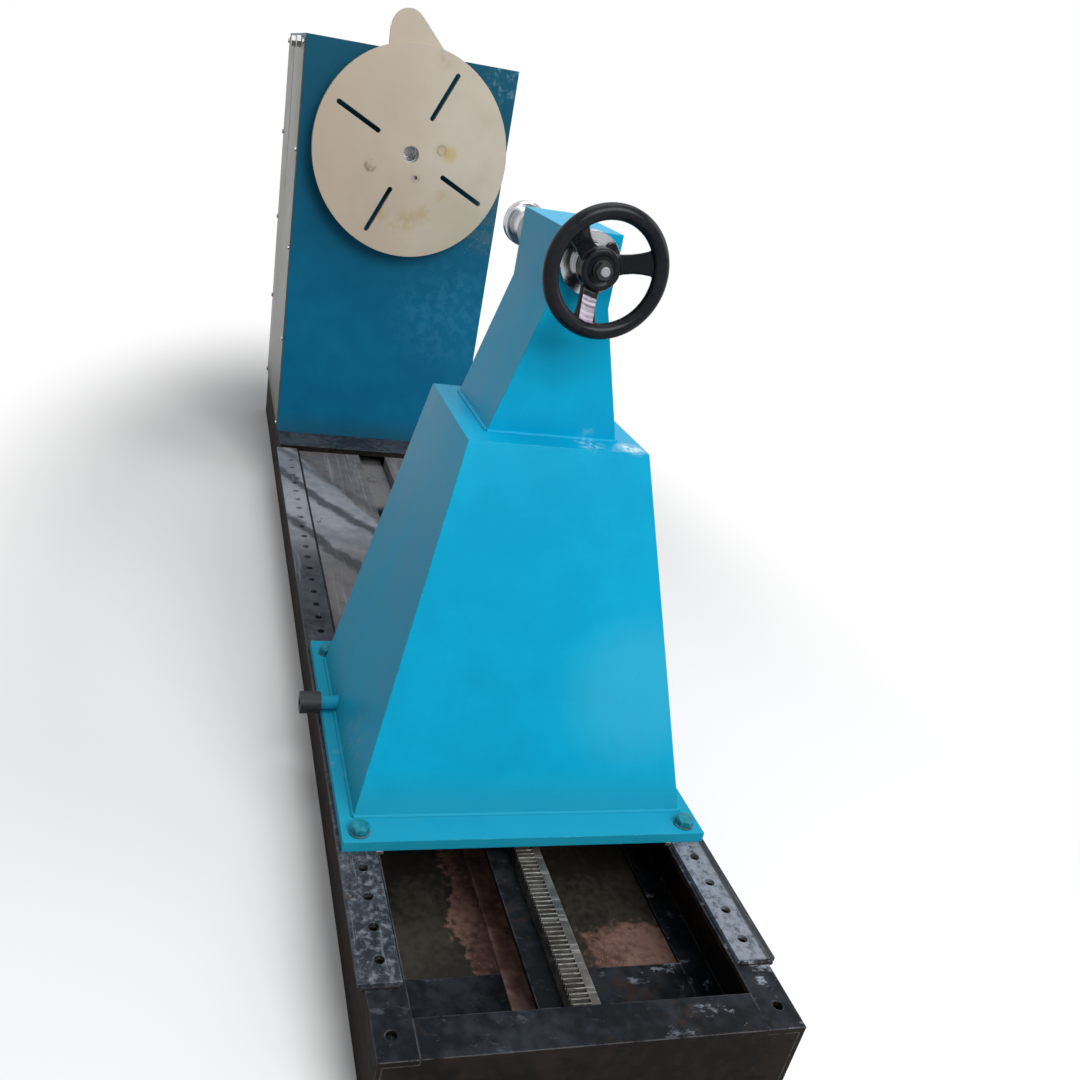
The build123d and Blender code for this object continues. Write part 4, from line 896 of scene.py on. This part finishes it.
# %% Turned pieces
def lathe(profile, sides=48, axis="Z"):
    """A stepped or tapered round bar on the X or Z axis through the origin."""
    (start, first), (stop, second) = profile[:2]
    unit = Vector((1, 0, 0)) if axis == "X" else Vector((0, 0, 1))
    turn = (0, math.pi / 2, 0) if axis == "X" else (0, 0, 0)
    bpy.ops.object.select_all(action="DESELECT")
    bpy.ops.mesh.primitive_cylinder_add(vertices=sides, radius=first, depth=stop - start,
                                        location=unit * (start + stop) / 2, rotation=turn)
    piece = bpy.context.object
    settle(piece)
    pick_faces(piece, lambda centre, normal: centre.dot(unit) > stop - 1e-5 and normal.dot(unit) > 0.9)

    def across(share):
        return (1, share, share) if axis == "X" else (share, share, 1)

    bpy.ops.transform.resize(value=across(second / first), center_override=unit * stop)
    end, before = stop, second
    for place, radius in profile[2:]:
        extrude_on(unit * (place - end), across(radius / before), unit * place)
        end, before = place, radius
    take(piece)
    return piece


# %% [markdown]
# ## The handwheel
# The wheel is one casting: a round rim, a hub set back from it, and three flat spokes that lean
# forward and flare into the rim with large fillets. The three shapes are made apart, joined and
# remeshed as one skin, and smoothing that skin rounds the inner corners as a mould does.

# %% Handwheel: rim and hub
rim_radius = 0.0125
wheel_plane = wheel_high.x - rim_radius
ring_radius = (wheel_high.y - wheel_low.y) / 2 - rim_radius
hub_length = 0.037
hub_radius = 0.032
hub_back = wheel_low.x
hub_face = hub_back + hub_length
bpy.ops.object.select_all(action="DESELECT")
bpy.ops.mesh.primitive_torus_add(major_radius=ring_radius, minor_radius=rim_radius, major_segments=96,
                                 minor_segments=24, location=(wheel_plane, 0, 0),
                                 rotation=(0, math.pi / 2, 0))
wheel = bpy.context.object
settle(wheel)
hub_profile = ((hub_back, hub_radius - 0.006), (hub_back + 0.010, hub_radius),
               (hub_face - 0.003, hub_radius), (hub_face, hub_radius - 0.003))
hub = lathe(hub_profile, 64, "X")
pick_faces(hub, lambda centre, normal: normal.x > 0.99 and centre.x > hub_face - 1e-4)
bpy.ops.mesh.inset(thickness=0.006)
extrude_on((-0.002, 0, 0), (1, 0.92, 0.92), (hub_face, 0, 0))
take(hub)
print("rim at", wheel_plane, "ring radius", ring_radius)

# %% [markdown]
# A spoke is a bar whose end is pushed out row by row. Each row says how far out it is, how wide the
# spoke is there, and how far forward it has leaned.

# %% Handwheel: spokes
spoke_rows = ((0.020, 0.036, 0.949), (0.036, 0.030, 0.953), (0.050, 0.029, 0.9615), (0.062, 0.032, 0.971),
              (0.072, 0.037, 0.979), (0.080, 0.046, 0.984), (0.0875, 0.064, wheel_plane))
spoke_thick = 0.012
(start_y, start_width, start_x), (next_y, next_width, next_x) = spoke_rows[:2]
bpy.ops.object.select_all(action="DESELECT")
bpy.ops.mesh.primitive_cube_add(size=1, location=(start_x, (start_y + next_y) / 2, 0),
                                scale=(spoke_thick, next_y - start_y, start_width))
spoke = bpy.context.object
settle(spoke)
pick_faces(spoke, lambda centre, normal: normal.y > 0.9)
bpy.ops.transform.resize(value=(1, 1, next_width / start_width), center_override=(next_x, next_y, 0))
bpy.ops.transform.translate(value=(next_x - start_x, 0, 0))
for (row_y, row_width, row_x), (end_y, end_width, end_x) in zip(spoke_rows[1:], spoke_rows[2:]):
    extrude_on((end_x - row_x, end_y - row_y, 0), (1, 1, end_width / row_width), (end_x, end_y, 0))
take(spoke)
apply_modifier(spoke, "BEVEL", width=0.003, segments=3, limit_method="ANGLE", angle_limit=0.7)
spoke_turns = [math.radians(angle) for angle in (16, 136, 256)]
spokes = [spoke, copy_of(spoke), copy_of(spoke)]
for one, spoke_turn in zip(spokes, spoke_turns):
    one.rotation_euler.x = spoke_turn
    settle(one)
print("spokes:", len(spokes))

# %% Handwheel: one skin
wheel = join(wheel, hub, *spokes)
wheel.location.z = spindle_z
settle(wheel)
apply_modifier(wheel, "REMESH", mode="VOXEL", voxel_size=0.00135)
apply_modifier(wheel, "SMOOTH", factor=0.5, iterations=9)
complete(wheel, "handwheel_casting", black_enamel, "screw", "handwheel", angle=1.2)

# %% [markdown]
# A patch of thin film is left on the lowest spoke, bare and wrinkled. It is a fine grid that
# follows the spoke's lean, pushed in and out by a cloud texture and then given its thickness.

# %% Film on a spoke
film_out = 0.0640
film_forward = 0.9726
film_gap = 0.0009
film_width = 0.024
film_length = 0.044
(inner_y, _, inner_x), (outer_y, _, outer_x) = spoke_rows[2], spoke_rows[5]
film_lean = math.atan2(outer_x - inner_x, outer_y - inner_y)
film_lift = spoke_thick / 2 + film_gap
film_place = (film_forward + film_lift * math.cos(film_lean), film_out - film_lift * math.sin(film_lean), 0)
wrinkles = bpy.data.textures.new("film_wrinkles", "CLOUDS")
wrinkles.noise_scale = 0.006
bpy.ops.object.select_all(action="DESELECT")
bpy.ops.mesh.primitive_grid_add(x_subdivisions=26, y_subdivisions=44, size=1, location=film_place,
                                rotation=(0, math.pi / 2, -film_lean))
film = bpy.context.object
film.scale = (film_width, film_length, 1)
settle(film)
roughen(film, wrinkles, 0.0022)
apply_modifier(film, "SOLIDIFY", thickness=0.0005)
film.rotation_euler.x = spoke_turns[2]
film.location.z = spindle_z
worn_film = make_turned("worn_film", (0.05, 0.04, 0.07), (0.62, 0.55, 0.65), 0.35, 0.0, ring_scale=150.0)
complete(film, "spoke_film", worn_film, "screw", angle=1.2)

# %% [markdown]
# ## Clamp bolts
# Four hexagon bolts with thick washers hold the tailstock down. A bolt head is a six-sided bar cut
# by a cone, which gives the curved chamfer on its corners. One bolt is made and copied to the
# corners of the base plate, each turned a little differently.

# %% One clamp bolt and washer
bolt_low, bolt_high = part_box("tailstock_clamp_bolts")
washer_low, washer_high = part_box("tailstock_clamp_washers")
washer_radius = 0.0185
washer_edge = 0.0006
head_corner = 0.030 / math.sqrt(3)
shank_radius = 0.010
head = lathe(((washer_high.z, head_corner), (bolt_high.z, head_corner)), 6)
cone_profile = ((washer_high.z - 0.001, head_corner * 1.05), (bolt_high.z - 0.0032, head_corner * 1.05),
                (bolt_high.z + 0.001, head_corner * 0.68))
cone = lathe(cone_profile, 64)
apply_modifier(head, "BOOLEAN", object=cone, operation="INTERSECT")
bpy.data.objects.remove(cone)
apply_modifier(head, "BEVEL", width=0.0005, segments=2, limit_method="ANGLE", angle_limit=0.6)
shank_profile = ((bolt_low.z, shank_radius * 0.9), (bolt_low.z + 0.0015, shank_radius),
                 (washer_high.z, shank_radius))
bolt = join(head, lathe(shank_profile, 32))
washer_profile = ((washer_low.z, washer_radius), (washer_high.z - washer_edge, washer_radius),
                  (washer_high.z, washer_radius - washer_edge))
washer = lathe(washer_profile, 64)
print("bolt head", head_corner * 2, "across corners")

# %% Four of each
front_clamp_x = plate_high.x - 0.026
clamp_spacing = 9 * 0.064
clamp_inset_y = 0.031
bolts, washers = [], []
for x in (front_clamp_x, front_clamp_x - clamp_spacing):
    for y in (plate_low.y + clamp_inset_y, plate_high.y - clamp_inset_y):
        for source, row in ((bolt, bolts), (washer, washers)):
            one = copy_of(source)
            one.location = (x, y, 0)
            one.rotation_euler.z = 7 * x + 3 * y
            settle(one)
            row.append(one)
bpy.data.objects.remove(bolt)
bpy.data.objects.remove(washer)
bolt_finish = make_cast("painted_bolt", (0.006, 0.150, 0.200), (0.012, 0.270, 0.340), 0.42, 260.0, 0.2)
washer_finish = make_cast("dusty_washer", (0.035, 0.090, 0.125), (0.110, 0.220, 0.270), 0.50, 260.0, 0.2)
complete(join(*bolts), "clamp_bolt_heads", bolt_finish, "tailstock", "tailstock_clamp_bolts")
complete(join(*washers), "clamp_bolt_washers", washer_finish, "tailstock",
         "tailstock_clamp_washers")

# %% [markdown]
# ## Weld beads
# The body is welded to its base plate, the column to the body, and each slide strip to the bed at
# its front end. A bead is one ripple, a short bar that swells in its middle, repeated along a line
# and roughened by a cloud texture. The open ends are closed at the last.

# %% One weld bead
weld_clouds = bpy.data.textures.new("weld_clouds", "CLOUDS")
weld_clouds.noise_scale = 0.018


def weld_bead(start, end, radius, pitch=0.007):
    """A row of ripples from one point to another."""
    start, end = Vector(start), Vector(end)
    count = round((end - start).length / pitch)
    step = (end - start).length / count
    bead = lathe(((0, radius * 0.92), (step / 2, radius * 1.06), (step, radius * 0.92)), 12)
    pick_faces(bead, lambda centre, normal: abs(normal.z) > 0.99)
    bpy.ops.mesh.delete(type="FACE")
    apply_modifier(bead, "ARRAY", count=count, use_relative_offset=False, use_constant_offset=True,
                   constant_offset_displace=(0, 0, step), use_merge_vertices=True, merge_threshold=0.00001)
    bpy.ops.object.mode_set(mode="EDIT")
    bpy.ops.mesh.select_all(action="SELECT")
    bpy.ops.mesh.fill_holes(sides=0)
    take(bead)
    bead.rotation_euler = (end - start).to_track_quat("Z", "Y").to_euler()
    bead.location = start
    settle(bead)
    roughen(bead, weld_clouds, radius * 0.4)
    return bead


# %% Welds on the tailstock
foot_front = 0.897
foot_half = 0.117
body_bead = 0.0042
column_bead = 0.0045


def weld_around(low_x, high_x, low_y, high_y, height, radius):
    """Beads along the four sides of a rectangle at one height."""
    corners = ((low_x, low_y), (high_x, low_y), (high_x, high_y), (low_x, high_y))
    sides = zip(corners, corners[1:] + corners[:1])
    return join(*[weld_bead((*corner, height), (*other, height), radius) for corner, other in sides])


body_weld = weld_around(body_low.x, body_high.x, body_low.y, body_high.y, plate_high.z, body_bead)
complete(body_weld, "body_foot_weld", tailstock_paint, "tailstock", angle=1.2)
column_weld = weld_around(column_low.x, foot_front, -foot_half, foot_half, body_high.z, column_bead)
complete(column_weld, "column_foot_weld", tailstock_paint, "tailstock", angle=1.2)

# %% Welds on the bed
strip_bead = 0.005
strip_inset = 0.004
strip_beads = []
for strip in ("slide_strip_left", "slide_strip_right"):
    strip_low, strip_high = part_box(strip)
    start = (strip_high.x, strip_low.y + strip_inset, bed_top)
    end = (strip_high.x, strip_high.y - strip_inset, bed_top)
    strip_beads.append(weld_bead(start, end, strip_bead))
complete(join(*strip_beads), "strip_end_welds", bed_paint, "bed", angle=1.2)

# %% [markdown]
# ## Tidy node trees
# All the shader nodes were made at the same spot. This puts them in columns, each to the left of
# what it feeds, so that a finish can be read in the shader editor.

# %% Lay out the nodes
def lay_out(tree, column_width=220, row_height=260):
    """Places each node one column to the left of the nodes that it feeds."""
    columns = {node.name: 0 for node in tree.nodes}
    links = [(link.from_node.name, link.to_node.name) for link in tree.links]
    moved = True
    while moved:
        moved = False
        for source, target in links:
            if columns[source] <= columns[target]:
                columns[source] = columns[target] + 1
                moved = True
    rows = {}
    for name, column in columns.items():
        rows[column] = rows.get(column, 0) + 1
        tree.nodes[name].location = (-column_width * column, -row_height * rows[column])


trees = [material.node_tree for material in bpy.data.materials if material.use_nodes]
for tree in (world_tree, *trees, *bpy.data.node_groups):
    lay_out(tree)
print("node trees:", len(trees))
